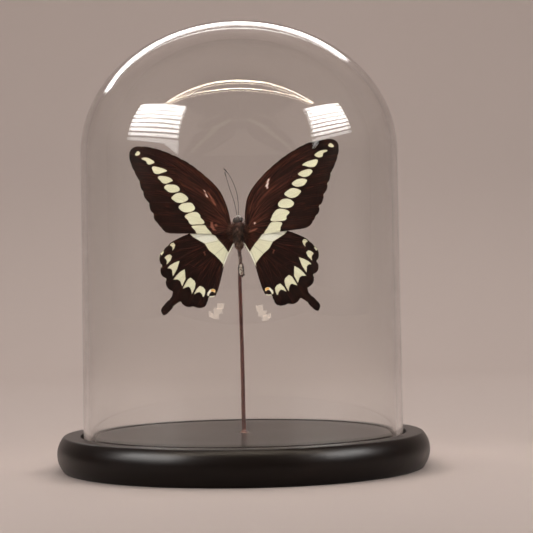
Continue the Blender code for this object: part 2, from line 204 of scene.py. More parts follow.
VEINS_HIND = (
    ((3.5, -3.4), (5.6, -9.8), (8.6, -18.0), (11.2, -28.9)),
    HIND_LOWER[:3] + ((13.4, -19.0), (15.0, -26.4), (15.8, -30.4), (17.4, -34.4)),
    HIND_LOWER[:4] + ((19.2, -23.4), (21.5, -28.8), (24.2, -33.8)),
    HIND_LOWER + ((23.3, -20.0), (26.1, -25.3), (29.4, -30.6), (35.2, -36.6)),
    HIND_LOWER + ((22.6, -14.6), (25.6, -15.6), (30.4, -20.9), (34.2, -24.4)),
    HIND_UPPER + ((23.8, -10.2), (27.2, -12.2), (33.0, -15.4), (36.4, -17.6)),
    HIND_UPPER + ((26.2, -7.6), (31.2, -9.0), (36.2, -11.2)),
    ((3.6, -1.4), (11.0, -0.4), (20.0, -2.2), (33.6, -6.4)),
)
# Painted reflections: small loops where glints of light on the wing are painted into its colour
PAINTED_GLINTS_LEFT = (
    ((15.7, 19.4), (15.1, 19.2), (14.2, 17.6), (13.6, 16.0), (14.2, 16.1), (15.0, 17.6)),
    ((12.6, 4.6), (11.7, 4.7), (11.5, 3.0), (10.9, 1.6), (10.2, 0.8), (11.6, 0.9), (12.6, 2.2)),
    ((10.7, 3.5), (9.9, 3.7), (9.7, 2.9), (10.3, 2.6)),
    ((13.8, 18.3), (13.1, 18.0), (11.2, 14.6), (9.9, 12.2), (10.6, 12.4), (12.4, 15.2)),
)
PAINTED_GLINTS_RIGHT = (
    ((14.7, 23.9), (14.0, 23.8), (13.0, 22.2), (12.6, 20.8), (13.0, 19.4), (13.9, 19.4), (13.9, 21.4)),
    ((7.9, 4.1), (7.3, 4.3), (7.0, 3.6), (7.5, 3.2)),
    ((8.6, 1.5), (7.0, 0.9), (4.6, 0.1), (4.4, -0.3), (7.2, 0.4)),
)
PAINTED_GLINTS_HIND = (((15.9, -9.0), (15.6, -9.1), (15.2, -10.3), (15.5, -10.4)),)


class BaseSettings(bpy.types.PropertyGroup):
    """Sizes and colours of the turned wooden base."""

    wood: FloatVectorProperty(
        name="Wood", description="Stained wood between the grain lines", subtype="COLOR", size=3,
        min=0.0, max=1.0, default=(0.0078, 0.0050, 0.0041))
    grain: FloatVectorProperty(
        name="Grain", description="Lighter brown of the open grain", subtype="COLOR", size=3,
        min=0.0, max=1.0, default=(0.0125, 0.0075, 0.0058))
    edge_round: FloatProperty(
        name="Edge rounding", description="Radius where the top turns over into the bulging side",
        subtype="DISTANCE", unit="LENGTH", min=0.0002, max=0.003, default=0.0014)
    sides: IntProperty(
        name="Sides", description="Steps around every turned piece", min=48, max=360, default=192)


class GlassSettings(bpy.types.PropertyGroup):
    """The dome's glass."""

    tint: FloatVectorProperty(
        name="Tint", description="Colour that light picks up in the glass", subtype="COLOR", size=3,
        min=0.0, max=1.0, default=(0.955, 0.953, 0.945))
    index: FloatProperty(
        name="Index of refraction", description="How strongly the glass bends light", min=1.0, max=2.0,
        default=1.45)


class WingSettings(bpy.types.PropertyGroup):
    """Colours of the wing scales."""

    dark: FloatVectorProperty(
        name="Dark scales", description="The ground colour of the upper side", subtype="COLOR", size=3,
        min=0.0, max=1.0, default=(0.0068, 0.0025, 0.0018))
    # Also used for the painted sheen near the root and along the leading edge, and the painted highlight
    # beside the veins
    warm: FloatVectorProperty(
        name="Warm scales", description="Reddish brown near the root and the front edge",
        subtype="COLOR", size=3, min=0.0, max=1.0, default=(0.068, 0.019, 0.010))
    cream: FloatVectorProperty(
        name="Cream spots", description="The pale band of spots", subtype="COLOR", size=3,
        min=0.0, max=1.0, default=(0.77, 0.765, 0.575))
    amber: FloatVectorProperty(
        name="Amber arc", description="The small arc by the inner corner of the hindwing",
        subtype="COLOR", size=3, min=0.0, max=1.0, default=(0.80, 0.42, 0.10))
    thickness: FloatProperty(
        name="Thickness", description="Thickness of a wing near its root", subtype="DISTANCE",
        unit="LENGTH", min=0.00005, max=0.0004, default=0.0002)


class BodySettings(bpy.types.PropertyGroup):
    """The butterfly's body, hair, feelers and legs."""

    hair: FloatVectorProperty(
        name="Hair", description="Darkest hair of the thorax", subtype="COLOR", size=3,
        min=0.0, max=1.0, default=(0.016, 0.009, 0.007))
    shell: FloatVectorProperty(
        name="Shell", description="Dry dark shell of the head, feelers and legs", subtype="COLOR",
        size=3, min=0.0, max=1.0, default=(0.016, 0.010, 0.008))
    hairs: IntProperty(
        name="Hairs", description="Number of hairs on the thorax", min=200, max=9000, default=5200)


class StemSettings(bpy.types.PropertyGroup):
    """The thin rod that carries the butterfly."""

    rod: FloatVectorProperty(
        name="Rod", description="Reddish-brown stained rod", subtype="COLOR", size=3,
        min=0.0, max=1.0, default=(0.050, 0.0105, 0.0075))


class StageSettings(bpy.types.PropertyGroup):
    """Floor, backdrop and light."""

    floor: FloatVectorProperty(
        name="Floor", description="Plain pale floor and backdrop", subtype="COLOR", size=3,
        min=0.0, max=1.0, default=(0.49, 0.405, 0.370))
    light: FloatProperty(
        name="Light", description="Brightness of all lamps together", min=0.1, max=5.0, default=1.0)


# ---------------------------------------------------------------- arrays

def smooth_line(marks, step):
    """Points about one step apart on the Catmull-Rom curve through the marks, the last one included.

    Between two marks p1 and p2, with p0 before and p3 after them, the curve at t is half of
    2 p1 + (p2 - p0) t + (2 p0 - 5 p1 + 4 p2 - p3) t^2 + (3 p1 - p0 - 3 p2 + p3) t^3.
    """
    guides = np.array(marks, float)
    guides = np.vstack([2 * guides[0] - guides[1], guides, 2 * guides[-1] - guides[-2]])
    counts = np.maximum(1, np.round(np.linalg.norm(np.diff(guides[1:-1], axis=0), axis=1) / step)).astype(int)
    first = np.repeat(np.arange(len(counts)), counts)
    t = (np.arange(len(first)) - np.repeat(np.cumsum(counts) - counts, counts)) / counts[first]
    p0, p1, p2, p3 = (guides[first + k] for k in range(4))
    t = t[:, None]
    curve = p1 + 0.5 * ((p2 - p0) * t + (2 * p0 - 5 * p1 + 4 * p2 - p3) * t ** 2
                        + (3 * p1 - p0 - 3 * p2 + p3) * t ** 3)
    return np.vstack([curve, guides[-2]])


def closed_line(marks, step):
    """The same curve through a ring of marks, without repeating its first point.

    The ring is run through three times, and the middle lap is smooth where it starts and ends.
    """
    ring = np.array(marks, float)
    laps = smooth_line(np.vstack([ring, ring, ring]), step)
    starts = np.sort(np.linalg.norm(laps - ring[0], axis=1).argsort()[:3])
    return laps[starts[1]:starts[2]]


def bowed_outline(marks, step):
    """A wing's margin: smooth between corners, then pushed outwards by bow * sin(pi * way along)."""
    corners = [i for i, mark in enumerate(marks) if len(mark) == 3]
    flat = np.array([mark[:2] for mark in marks])
    runs = []
    for first, last in zip(corners, corners[1:] + [corners[0] + len(marks)]):
        stretch = flat[np.arange(first, last + 1) % len(marks)]
        run = smooth_line(stretch, step)
        chord = stretch[-1] - stretch[0]
        outward = np.array((-chord[1], chord[0])) / np.linalg.norm(chord) * marks[first][2]
        way = np.linspace(0.0, 1.0, len(run))
        runs.append((run + np.sin(np.pi * way)[:, None] * outward)[:-1])
    return np.vstack(runs)


def signed_distance(points, loop):
    """Distance in mm from each point to a closed line, positive inside it and negative outside.

    The nearest place on each side of the loop is found by projection, clamped to the side's ends.
    A point is inside when a ray to the right crosses the loop an odd number of times.
    """
    start, end = np.array(loop, float), np.roll(np.array(loop, float), -1, axis=0)
    run = end - start
    reach = points[:, None, :] - start
    t = np.clip((reach * run).sum(2) / np.maximum((run * run).sum(1), 1e-12), 0.0, 1.0)
    nearest = np.sqrt(((reach - t[..., None] * run) ** 2).sum(2).min(1))
    above = (start[:, 1] > points[:, 1:2]) != (end[:, 1] > points[:, 1:2])
    slope = run[:, 0] / np.where(run[:, 1] == 0.0, 1e-12, run[:, 1])
    crossing = above & (points[:, :1] < start[:, 0] + slope * (points[:, 1:2] - start[:, 1]))
    return np.where(crossing.sum(1) % 2 == 1, nearest, -nearest)


def smooth_step(values, low, high):
    """0 below low, 1 above high and 3 t^2 - 2 t^3 between them."""
    t = np.clip((values - low) / (high - low), 0.0, 1.0)
    return t * t * (3.0 - 2.0 * t)


def rounded_end(way, share):
    """1 along a path, falling as a square root over the last share of it."""
    return np.sqrt(np.clip((1.0 - way) / share, 0.05, 1.0))


def ripple(points, waves):
    """A sum of plane waves: amplitude * sin(direction . point + phase), one row of waves each."""
    waves = np.array(waves, float)
    return (waves[:, -2] * np.sin(points @ waves[:, :-2].T + waves[:, -1])).sum(1)


def grid_quads(rows, columns, wrap):
    """Quads between neighbours of a grid stored row by row; wrap joins the last column to the first."""
    index = np.arange(rows * columns).reshape(rows, columns)
    if wrap:
        index = np.hstack([index, index[:, :1]])
    return np.stack([index[:-1, :-1], index[:-1, 1:], index[1:, 1:], index[1:, :-1]], -1).reshape(-1, 4)


def pole_fan(pole, ring, outward_first):
    """Triangles from one pole to a ring of point numbers."""
    following = np.roll(ring, -1)
    pair = (ring, following) if outward_first else (following, ring)
    return np.stack([np.full(len(ring), pole), *pair], -1)


def ringed_faces(rows, sides):
    """Faces of a surface stored ring by ring, closed by two poles that follow the last ring."""
    count = rows * sides
    return [grid_quads(rows, sides, True), pole_fan(count, np.arange(sides), False),
            pole_fan(count + 1, np.arange(count - sides, count), True)]


def unit(vectors):
    """Each row made one long."""
    return vectors / np.linalg.norm(vectors, axis=1, keepdims=True)


def enclosed(points, faces):
    """Signed volume inside closed faces: a sixth of the sum of a . (b x c) over their triangles."""
    total = 0.0
    for group in faces:
        a = points[group[:, 0]]
        for k in range(1, group.shape[1] - 1):
            total += np.einsum("ij,ij->", a, np.cross(points[group[:, k]], points[group[:, k + 1]]))
    return total / 6.0


def add_piece(name, points, faces, material, slot, replaces=(), uv=None, **values):
    """A mesh object from points in mm and groups of faces, turned outwards, with point attributes."""
    if enclosed(points, faces) < 0.0:
        faces = [group[:, ::-1] for group in faces]
    corners = np.concatenate([group.ravel() for group in faces])
    sizes = np.concatenate([np.full(len(group), group.shape[1]) for group in faces])
    mesh = bpy.data.meshes.new(name)
    mesh.vertices.add(len(points))
    mesh.vertices.foreach_set("co", (points * MM).astype(np.float32).ravel())
    mesh.loops.add(len(corners))
    mesh.loops.foreach_set("vertex_index", corners.astype(np.int32))
    mesh.polygons.add(len(sizes))
    mesh.polygons.foreach_set("loop_start", (np.cumsum(sizes) - sizes).astype(np.int32))
    mesh.update(calc_edges=True)
    mesh.shade_smooth()
    for key, value in values.items():
        attribute = mesh.attributes.new(key, "FLOAT", "POINT")
        attribute.data.foreach_set("value", np.asarray(value, np.float32))
    if uv is not None:
        mesh.uv_layers.new(name="Flow").data.foreach_set("uv", uv[corners].astype(np.float32).ravel())
    mesh.materials.append(material)
    made = bpy.data.objects.new(name, mesh)
    bpy.context.scene.collection.objects.link(made)
    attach(made, "root")
    if replaces:
        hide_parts(*replaces)
    return made


def turned(profile, sides):
    """A surface turned about Z: (r cos a, r sin a, z) for a closed profile with both ends on the axis."""
    angle = np.linspace(0.0, 2.0 * np.pi, sides, endpoint=False)
    radius, height = profile[1:-1, 0:1], profile[1:-1, 1:2]
    rings = np.stack([radius * np.cos(angle), radius * np.sin(angle), height + 0.0 * angle], -1)
    ends = np.array([(0.0, 0.0, profile[0, 1]), (0.0, 0.0, profile[-1, 1])])
    return np.vstack([rings.reshape(-1, 3), ends]), ringed_faces(len(radius), sides)


def swept(path, radii, sides, lobes=0.0):
    """A tube along a path: at each point a ring of radius r (1 + lobes) in the plane across the path.

    The ring's first axis is the path's direction crossed with a fixed slanting axis. Both ends are
    closed by a pole. Returns the points, the faces and each point's way along in mm and turn.
    """
    forward = unit(np.gradient(path, axis=0))
    across = unit(np.cross(forward, SLANT))
    over = np.cross(across, forward)
    turn = np.linspace(0.0, 2.0 * np.pi, sides, endpoint=False)
    size = np.asarray(radii, float)[:, None] * (1.0 + lobes)
    rings = (path[:, None] + (size * np.cos(turn))[..., None] * across[:, None]
             + (size * np.sin(turn))[..., None] * over[:, None])
    points = np.vstack([rings.reshape(-1, 3), path[:1], path[-1:]])
    faces = ringed_faces(len(path), sides)
    way = np.concatenate([[0.0], np.cumsum(np.linalg.norm(np.diff(path, axis=0), axis=1))])
    flow = np.stack([np.repeat(way, sides), np.tile(turn, len(path))], -1)
    return points, faces, np.vstack([flow, flow[:1], flow[-1:]])


# ---------------------------------------------------------------- materials

class Finish:
    """A material under construction: adds nodes and joins them."""

    def __init__(self, name):
        self.material = bpy.data.materials.new(name)
        self.material.use_nodes = True
        self.tree = self.material.node_tree
        self.shader = self.tree.nodes["Principled BSDF"]
        self.output = self.tree.nodes["Material Output"]

    def put(self, socket, value):
        """Sets a socket to a number or colour, or links another socket to it."""
        if isinstance(value, bpy.types.NodeSocket):
            self.tree.links.new(value, socket)
        elif socket.type == "RGBA" and len(value) == 3:
            socket.default_value = (*value, 1.0)
        else:
            socket.default_value = value

    def add(self, kind, inputs=None, **settings):
        """A new node with its settings and inputs, by name or number."""
        node = self.tree.nodes.new("ShaderNode" + kind)
        for key, value in settings.items():
            setattr(node, key, value)
        for key, value in (inputs or {}).items():
            self.put(node.inputs[key], value)
        return node

    def shade(self, **inputs):
        """Sets inputs of the Principled shader; an underscore stands for a space."""
        for key, value in inputs.items():
            self.put(self.shader.inputs[key.replace("_", " ")], value)

    def attribute(self, name):
        """The number stored at each point under this name."""
        return self.add("Attribute", attribute_name=name).outputs["Fac"]

    def place(self, scale, uv=False):
        """Object coordinates in metres, or the piece's Flow map in mm, times a scale."""
        if uv:
            source = self.add("UVMap", uv_map="Flow").outputs["UV"]
        else:
            source = self.add("TexCoord").outputs["Object"]
        return self.add("Mapping", {"Vector": source, "Scale": scale}).outputs[0]

    def noise(self, place, scale=1.0, detail=3.0, roughness=0.5):
        """Fractal noise from 0 to 1."""
        return self.add("TexNoise", {"Vector": place, "Scale": scale, "Detail": detail,
                                     "Roughness": roughness}).outputs["Fac"]

    def ramp(self, value, low, high, start=0.0, end=1.0):
        """Start below low, end above high, and a smooth change between."""
        return self.add("MapRange", {"Value": value, "From Min": low, "From Max": high, "To Min": start,
                                     "To Max": end}, interpolation_type="SMOOTHSTEP").outputs["Result"]

    def fade(self, value, low, high):
        """1 below low and 0 above high."""
        return self.ramp(value, low, high, 1.0, 0.0)

    def math(self, operation, first, second=0.0):
        """One arithmetic step."""
        return self.add("Math", {0: first, 1: second}, operation=operation).outputs[0]

    def times(self, first, second):
        """First times second."""
        return self.math("MULTIPLY", first, second)

    def plus(self, first, second):
        """First plus second."""
        return self.math("ADD", first, second)

    def swing(self, noise, middle, strength):
        """How far a noise strays from its middle, times a strength."""
        return self.times(self.math("SUBTRACT", noise, middle), strength)

    def mix(self, factor, first, second):
        """From the first colour to the second."""
        return self.add("Mix", {0: factor, 6: first, 7: second}, data_type="RGBA").outputs[2]

    def bump(self, height, distance, strength=1.0):
        """Normals of a small relief, its height from 0 to 1 standing for the distance in metres."""
        return self.add("Bump", {"Height": height, "Distance": distance, "Strength": strength}).outputs[0]


def wing_finish(settings):
    """Dull dark scales with cream spots, an amber arc, raised veins and pale-fringed edges, with painted
    sheen and painted glints.
    """
    made = Finish("wing_scales")
    mix, ramp, fade, attribute = made.mix, made.ramp, made.fade, made.attribute
    times, plus = made.times, made.plus
    in_mm = made.place(PER_MM)
    scales = made.noise(in_mm, 7.0, 2.0, 0.6)
    blotches = made.noise(in_mm, 0.13, 3.0, 0.6)
    streaks = made.noise(made.place((0.085, 1.7, 1.0), uv=True), 1.0, 4.0, 0.62)
    ribs = made.noise(made.place((0.028, 0.95, 1.0), uv=True), 1.0, 1.5, 0.5)
    pale, amber, scuff, white = (attribute(name) for name in ("pale", "amber", "scuff", "white"))
    vein = made.math("ABSOLUTE", attribute("vein"))
    worn, costal = attribute("worn"), attribute("costal")

    # The dark ground: reddish streaks in patches; painted sheen as warm streaks along the leading edge and
    # near the root, and a painted highlight beside the veins
    patchy = times(ramp(streaks, 0.50, 0.66), ramp(blotches, 0.42, 0.60))
    # Painted sheen: warm streaks along the leading edge
    leading = times(times(costal, ramp(ribs, 0.42, 0.60)), ramp(streaks, 0.34, 0.58))
    # Painted sheen: warm streaks near the root
    near_root = times(worn, ramp(streaks, 0.46, 0.60))
    # Painted highlight: a lighter warm band on each side of every vein, as on a lit ridge
    shoulder = times(ramp(vein, 0.12, 0.30), fade(vein, 0.35, 0.75))
    warmth = plus(plus(times(patchy, 0.42), times(leading, 0.55)), times(near_root, 1.1))
    warmth = plus(warmth, times(shoulder, 0.22))
    ground = mix(made.math("MINIMUM", warmth, 1.0), settings.dark, settings.warm)
    ground = mix(times(ramp(scales, 0.50, 0.72), 0.35), ground, (0.034, 0.016, 0.011))
    # Painted sheen: brighter reddish streaks near the root and along the leading edge
    painted_hot_sheen = times(ramp(streaks, 0.60, 0.74), made.math("MINIMUM", plus(worn, leading), 1.0))
    ground = mix(times(painted_hot_sheen, 0.45), ground, (0.30, 0.120, 0.075))
    ground = mix(times(attribute("under"), 0.60), ground, (0.060, 0.032, 0.022))
    ridge = fade(vein, 0.06, 0.20)
    ground = mix(times(ridge, 0.75), ground, (0.004, 0.002, 0.002))

    # The cream marks, whiter in places, dusky at their edges and crossed by darker lines at the veins, which
    # are partly vein scales and partly painted shadow beside the raised veins
    ragged = plus(pale, made.swing(scales, 0.5, 0.26))
    cream = mix(ramp(streaks, 0.3, 0.75), settings.cream, (0.66, 0.64, 0.46))
    cream = mix(ramp(white, -0.4, 0.4), cream, (0.78, 0.78, 0.68))
    # Darker along the veins through the cream: partly the veins' own scales, partly painted shadow
    cream = mix(times(fade(vein, 0.04, 0.22), 0.55), cream, (0.30, 0.28, 0.19))
    cream = mix(ramp(pale, 0.0, 0.50, 0.45, 0.0), cream, (0.50, 0.43, 0.25))
    colour = mix(ramp(ragged, -0.07, 0.09), ground, cream)

    # The amber arc, the painted glints and the pale, frayed fringe
    glow = mix(ramp(amber, 0.05, 0.45), (0.85, 0.66, 0.36), settings.amber)
    glow = mix(ramp(white, -0.2, 0.2), glow, (0.86, 0.84, 0.74))
    colour = mix(ramp(amber, -0.06, 0.08), colour, glow)
    # Painted reflections: a dim reddish halo round each glint loop, then a reddish core, whitish where the
    # white loops lie
    glint_spread = plus(scuff, made.swing(streaks, 0.5, 2.2))
    painted_glint_colour = mix(ramp(white, -0.2, 0.1), (0.23, 0.090, 0.060), (0.66, 0.58, 0.54))
    colour = mix(ramp(glint_spread, -0.45, 0.05), colour, (0.13, 0.045, 0.028))
    colour = mix(ramp(glint_spread, 0.02, 0.24), colour, painted_glint_colour)
    fringe = times(fade(attribute("edge"), 0.08, 0.34), attribute("fringe"))
    colour = mix(fringe, colour, (0.70, 0.64, 0.50))
    made.shade(Base_Color=colour, Roughness=ramp(scales, 0.3, 0.8, 0.60, 0.80), Specular_IOR_Level=0.03)
    relief = plus(plus(times(ridge, 0.8), times(scales, 0.30)), times(streaks, 0.45))
    made.shade(Normal=made.bump(relief, 0.00014, 0.8))
    return made.material


def wood_finish(settings):
    """Close-grained wood, stained nearly black, under a satin varnish."""
    made = Finish("dark_wood")
    grain = made.noise(made.place((12.0, 150.0, 150.0)), 1.0, 5.0, 0.58)
    rings = made.noise(made.place((4.0, 40.0, 40.0)), 1.0, 3.0, 0.5)
    pores = made.noise(made.place((90.0, 900.0, 900.0)), 1.0, 2.0, 0.5)
    haze = made.noise(made.place((30.0, 30.0, 30.0)), 1.0, 4.0, 0.6)
    light = made.times(made.ramp(grain, 0.30, 0.75), made.ramp(rings, 0.25, 0.75))
    colour = made.mix(light, settings.wood, settings.grain)
    rough = made.ramp(haze, 0.20, 0.80, 0.30, 0.32)
    made.shade(Base_Color=colour, Roughness=rough, Coat_Weight=0.05, Coat_Roughness=0.20, Coat_IOR=1.5,
               Specular_IOR_Level=0.14)
    relief = made.plus(made.times(grain, 0.7), made.times(pores, 0.3))
    made.shade(Normal=made.bump(relief, 0.00002, 0.4))
    return made.material


def glass_finish(settings):
    """Clear polished glass, which lets lamps through to what it covers."""
    made = Finish("glass")
    made.shade(Base_Color=settings.tint, Roughness=0.0, IOR=settings.index, Transmission_Weight=1.0)
    clear = made.add("BsdfTransparent", {"Color": (0.96, 0.96, 0.955)})
    path = made.add("LightPath")
    either = made.add("MixShader", {0: path.outputs["Is Shadow Ray"], 1: made.shader.outputs[0],
                                    2: clear.outputs[0]})
    made.put(made.output.inputs["Surface"], either.outputs[0])
    return made.material


def rod_finish(settings):
    """A thin stained rod with its grain running along it."""
    made = Finish("stem_wood")
    fibres = made.noise(made.place((0.12, 2.4, 1.0), uv=True), 1.0, 5.0, 0.65)
    knots = made.noise(made.place((0.07, 0.4, 1.0), uv=True), 1.0, 2.0)
    colour = made.mix(made.ramp(fibres, 0.35, 0.70), settings.rod, (0.100, 0.032, 0.024))
    colour = made.mix(made.times(made.ramp(knots, 0.55, 0.70), 0.6), colour, (0.022, 0.009, 0.008))
    made.shade(Base_Color=colour, Roughness=made.ramp(fibres, 0.3, 0.7, 0.42, 0.58), Specular_IOR_Level=0.16)
    made.shade(Normal=made.bump(fibres, 0.00008, 0.7))
    return made.material


def steel_finish():
    """Fine drawn wire, a little tarnished."""
    made = Finish("steel")
    marks = made.noise(made.place((1.5, 3.0, 1.0), uv=True), 1.0, 4.0, 0.6)
    made.shade(Base_Color=made.mix(made.ramp(marks, 0.4, 0.7), (0.55, 0.54, 0.52), (0.22, 0.19, 0.17)),
               Metallic=1.0, Roughness=made.ramp(marks, 0.3, 0.7, 0.25, 0.5))
    made.shade(Normal=made.bump(marks, 0.00003, 0.4))
    return made.material


def glue_finish():
    """A clear, slightly amber bead of set glue."""
    made = Finish("glue")
    cloud = made.noise(made.place((900.0, 900.0, 900.0)), 1.0, 3.0)
    made.shade(Base_Color=made.mix(made.ramp(cloud, 0.3, 0.7), (0.085, 0.040, 0.034), (0.16, 0.080, 0.065)),
               Roughness=0.16, Coat_Weight=0.5, Coat_Roughness=0.05)
    made.shade(Normal=made.bump(cloud, 0.0001, 0.3))
    return made.material


def hair_finish(name, light, dark, tips):
    """Dull insect hair, each hair between two tones and paler at its tip."""
    made = Finish(name)
    tone, tip = made.attribute("tone"), made.attribute("tip")
    colour = made.mix(tone, dark, light)
    colour = made.mix(made.times(tip, made.times(tone, 0.8)), colour, tips)
    made.shade(Base_Color=colour, Roughness=0.55, Specular_IOR_Level=0.12)
    return made.material


def shell_finish(settings, name="horn", gloss=0.36):
    """Dry, dark insect shell, finely wrinkled."""
    made = Finish(name)
    place = made.place(PER_MM)
    fine = made.noise(place, 6.0, 4.0, 0.6)
    broad = made.noise(place, 0.9, 2.0)
    colour = made.mix(made.ramp(broad, 0.35, 0.65), settings.shell, tuple(c * 2.3 for c in settings.shell))
    colour = made.mix(made.times(made.ramp(fine, 0.55, 0.75), 0.4), colour, (0.060, 0.045, 0.036))
    made.shade(Base_Color=colour, Roughness=made.ramp(fine, 0.3, 0.7, gloss, gloss + 0.16), Coat_Weight=0.25,
               Coat_Roughness=0.2)
    made.shade(Normal=made.bump(fine, 0.00006, 0.6))
    return made.material


def body_finish():
    """Dried body: red-brown skin with black blotches, and a pale core between the claspers."""
    made = Finish("dried_body")
    place = made.place(PER_MM)
    blotch = made.noise(place, 1.1, 3.0, 0.6)
    fine = made.noise(place, 7.0, 3.0, 0.6)
    colour = made.mix(made.ramp(blotch, 0.44, 0.58), (0.125, 0.048, 0.036), (0.012, 0.007, 0.006))
    pale = made.plus(made.attribute("pale"), made.swing(blotch, 0.56, 3.0))
    colour = made.mix(made.ramp(pale, 0.40, 0.65), colour, (0.60, 0.55, 0.47))
    made.shade(Base_Color=colour, Roughness=made.ramp(fine, 0.3, 0.7, 0.42, 0.6), Specular_IOR_Level=0.35)
    made.shade(Normal=made.bump(fine, 0.00008, 0.7))
    return made.material


def eye_finish():
    """A faceted compound eye with a hard gloss."""
    made = Finish("eye")
    in_mm = made.place(PER_MM)
    facets = made.add("TexVoronoi", {"Vector": in_mm, "Scale": 9.0, "Randomness": 0.25}, feature="F1")
    spots = made.noise(in_mm, 1.6, 2.0)
    made.shade(Base_Color=made.mix(made.ramp(spots, 0.35, 0.7), (0.008, 0.005, 0.005), (0.034, 0.022, 0.020)),
               Roughness=0.25, Coat_Weight=0.6, Coat_Roughness=0.05, Specular_IOR_Level=0.3)
    made.shade(Normal=made.bump(facets.outputs["Distance"], 0.00004, 0.35))
    return made.material


def stage_finish(settings):
    """Plain matt floor, with the faintest mottling."""
    made = Finish("floor")
    mottle = made.noise(made.place((3.0, 3.0, 3.0)), 1.0, 2.0)
    darker = tuple(c * 0.97 for c in settings.floor)
    made.shade(Base_Color=made.mix(mottle, settings.floor, darker), Roughness=0.85, Specular_IOR_Level=0.2)
    return made.material


# ---------------------------------------------------------------- pieces

BASE_HEIGHT = 16.0
BASE_RADIUS = 85.0
BASE_TOP_RADIUS = 81.8
GROOVE_INNER = 67.5
GROOVE_OUTER = 74.2
GROOVE_DEPTH = 4.0
HOLE_RADIUS = 1.28
HOLE_DEPTH = 9.0
GROOVE_ROUND = 0.45

TOP_HEIGHT = 204.0
RIM_RADIUS = 73.0
SHOULDER_RADIUS = 72.3
CROWN_RISE = 59.5
GLASS = 3.0
RIM_FLOOR = 12.3

STEM_ROUTE = ((0.15, 0.0, 7.3), (0.15, 0.0, 16.0), (0.0, 0.1, 45.0), (-0.45, 0.45, 75.0), (-0.66, 0.6, 90.3))
STEM_RADII = (0.98, 0.78)
PIN_ROUTE = ((-0.6, 0.6, 90.4), (-0.2, 0.6, 94.0), (-0.35, 0.5, 98.5), (-0.7, 0.3, 102.8))
PIN_RADIUS = 0.2

# Steps of a wing's mesh: along its margin in mm, and rings from its centre out to the margin
MARGIN_STEP = 0.52
WING_ROWS = 112


def arc(centre, radius, start, end, steps):
    """Points on a circle in the profile's plane, from one angle in degrees to another."""
    angle = np.radians(np.linspace(start, end, steps))
    return np.stack([centre[0] + radius * np.cos(angle), centre[1] + radius * np.sin(angle)], -1)


def base_profile(edge_round):
    """Underside, bulging edge on a circular arc, rounded rim, groove, raised middle and stem hole."""
    bulge, half = BASE_RADIUS - BASE_TOP_RADIUS, BASE_HEIGHT / 2.0
    radius = (half ** 2 + bulge ** 2) / (2.0 * bulge)
    centre = (BASE_RADIUS - radius, half)
    inset = radius - edge_round
    # the rim's small arc touches the bulging arc from inside and the flat top from below
    rise = math.degrees(math.asin((half - edge_round) / inset))
    small = (centre[0] + inset * math.cos(math.radians(rise)), BASE_HEIGHT - edge_round)
    low = (small[0], edge_round)
    side = arc(centre, radius, -rise, rise, 25)
    floor = BASE_HEIGHT - GROOVE_DEPTH
    r = GROOVE_ROUND
    return np.vstack([
        [(ring, 0.0) for ring in (0.0, 20.0, 45.0, 70.0, small[0] - 2.0)],
        arc(low, edge_round, -90.0, -rise, 7)[:-1], side, arc(small, edge_round, rise, 90.0, 7)[1:],
        [(78.0, BASE_HEIGHT)], arc((GROOVE_OUTER + r, BASE_HEIGHT - r), r, 90.0, 180.0, 6),
        [(GROOVE_OUTER, floor + 2.0)], arc((GROOVE_OUTER - 0.3, floor + 0.3), 0.3, 0.0, -90.0, 4),
        arc((GROOVE_INNER + 0.3, floor + 0.3), 0.3, 270.0, 180.0, 4), [(GROOVE_INNER, floor + 2.0)],
        arc((GROOVE_INNER - r, BASE_HEIGHT - r), r, 0.0, 90.0, 6),
        [(ring, BASE_HEIGHT) for ring in (55.0, 40.0, 25.0, 12.0, 5.0)],
        [(HOLE_RADIUS + 0.15, BASE_HEIGHT), (HOLE_RADIUS, BASE_HEIGHT - 0.15),
         (HOLE_RADIUS, BASE_HEIGHT - HOLE_DEPTH), (0.0, BASE_HEIGHT - HOLE_DEPTH)],
    ])


def dome_profile():
    """Outside from the top: a quarter ellipse, a wall widening to the rim, a round lip, and inside."""
    shoulder = TOP_HEIGHT - CROWN_RISE
    angle = np.radians(np.linspace(90.0, 0.0, 49))
    quarter = np.stack([np.cos(angle), np.sin(angle)], -1)
    quarter[0, 0] = 0.0
    outer = quarter * (SHOULDER_RADIUS, CROWN_RISE) + (0.0, shoulder)
    inner = quarter * (SHOULDER_RADIUS - GLASS, CROWN_RISE - GLASS) + (0.0, shoulder)
    lip = arc((RIM_RADIUS - GLASS / 2.0, RIM_FLOOR + GLASS / 2.0), GLASS / 2.0, 0.0, -180.0, 13)
    way = np.linspace(0.0, 1.0, 25)[1:-1, None]
    wall = outer[-1] + way * (lip[0] - outer[-1])
    inside = lip[-1] + way * (inner[-1] - lip[-1])
    return np.vstack([outer, wall, lip, inside, inner[::-1]])


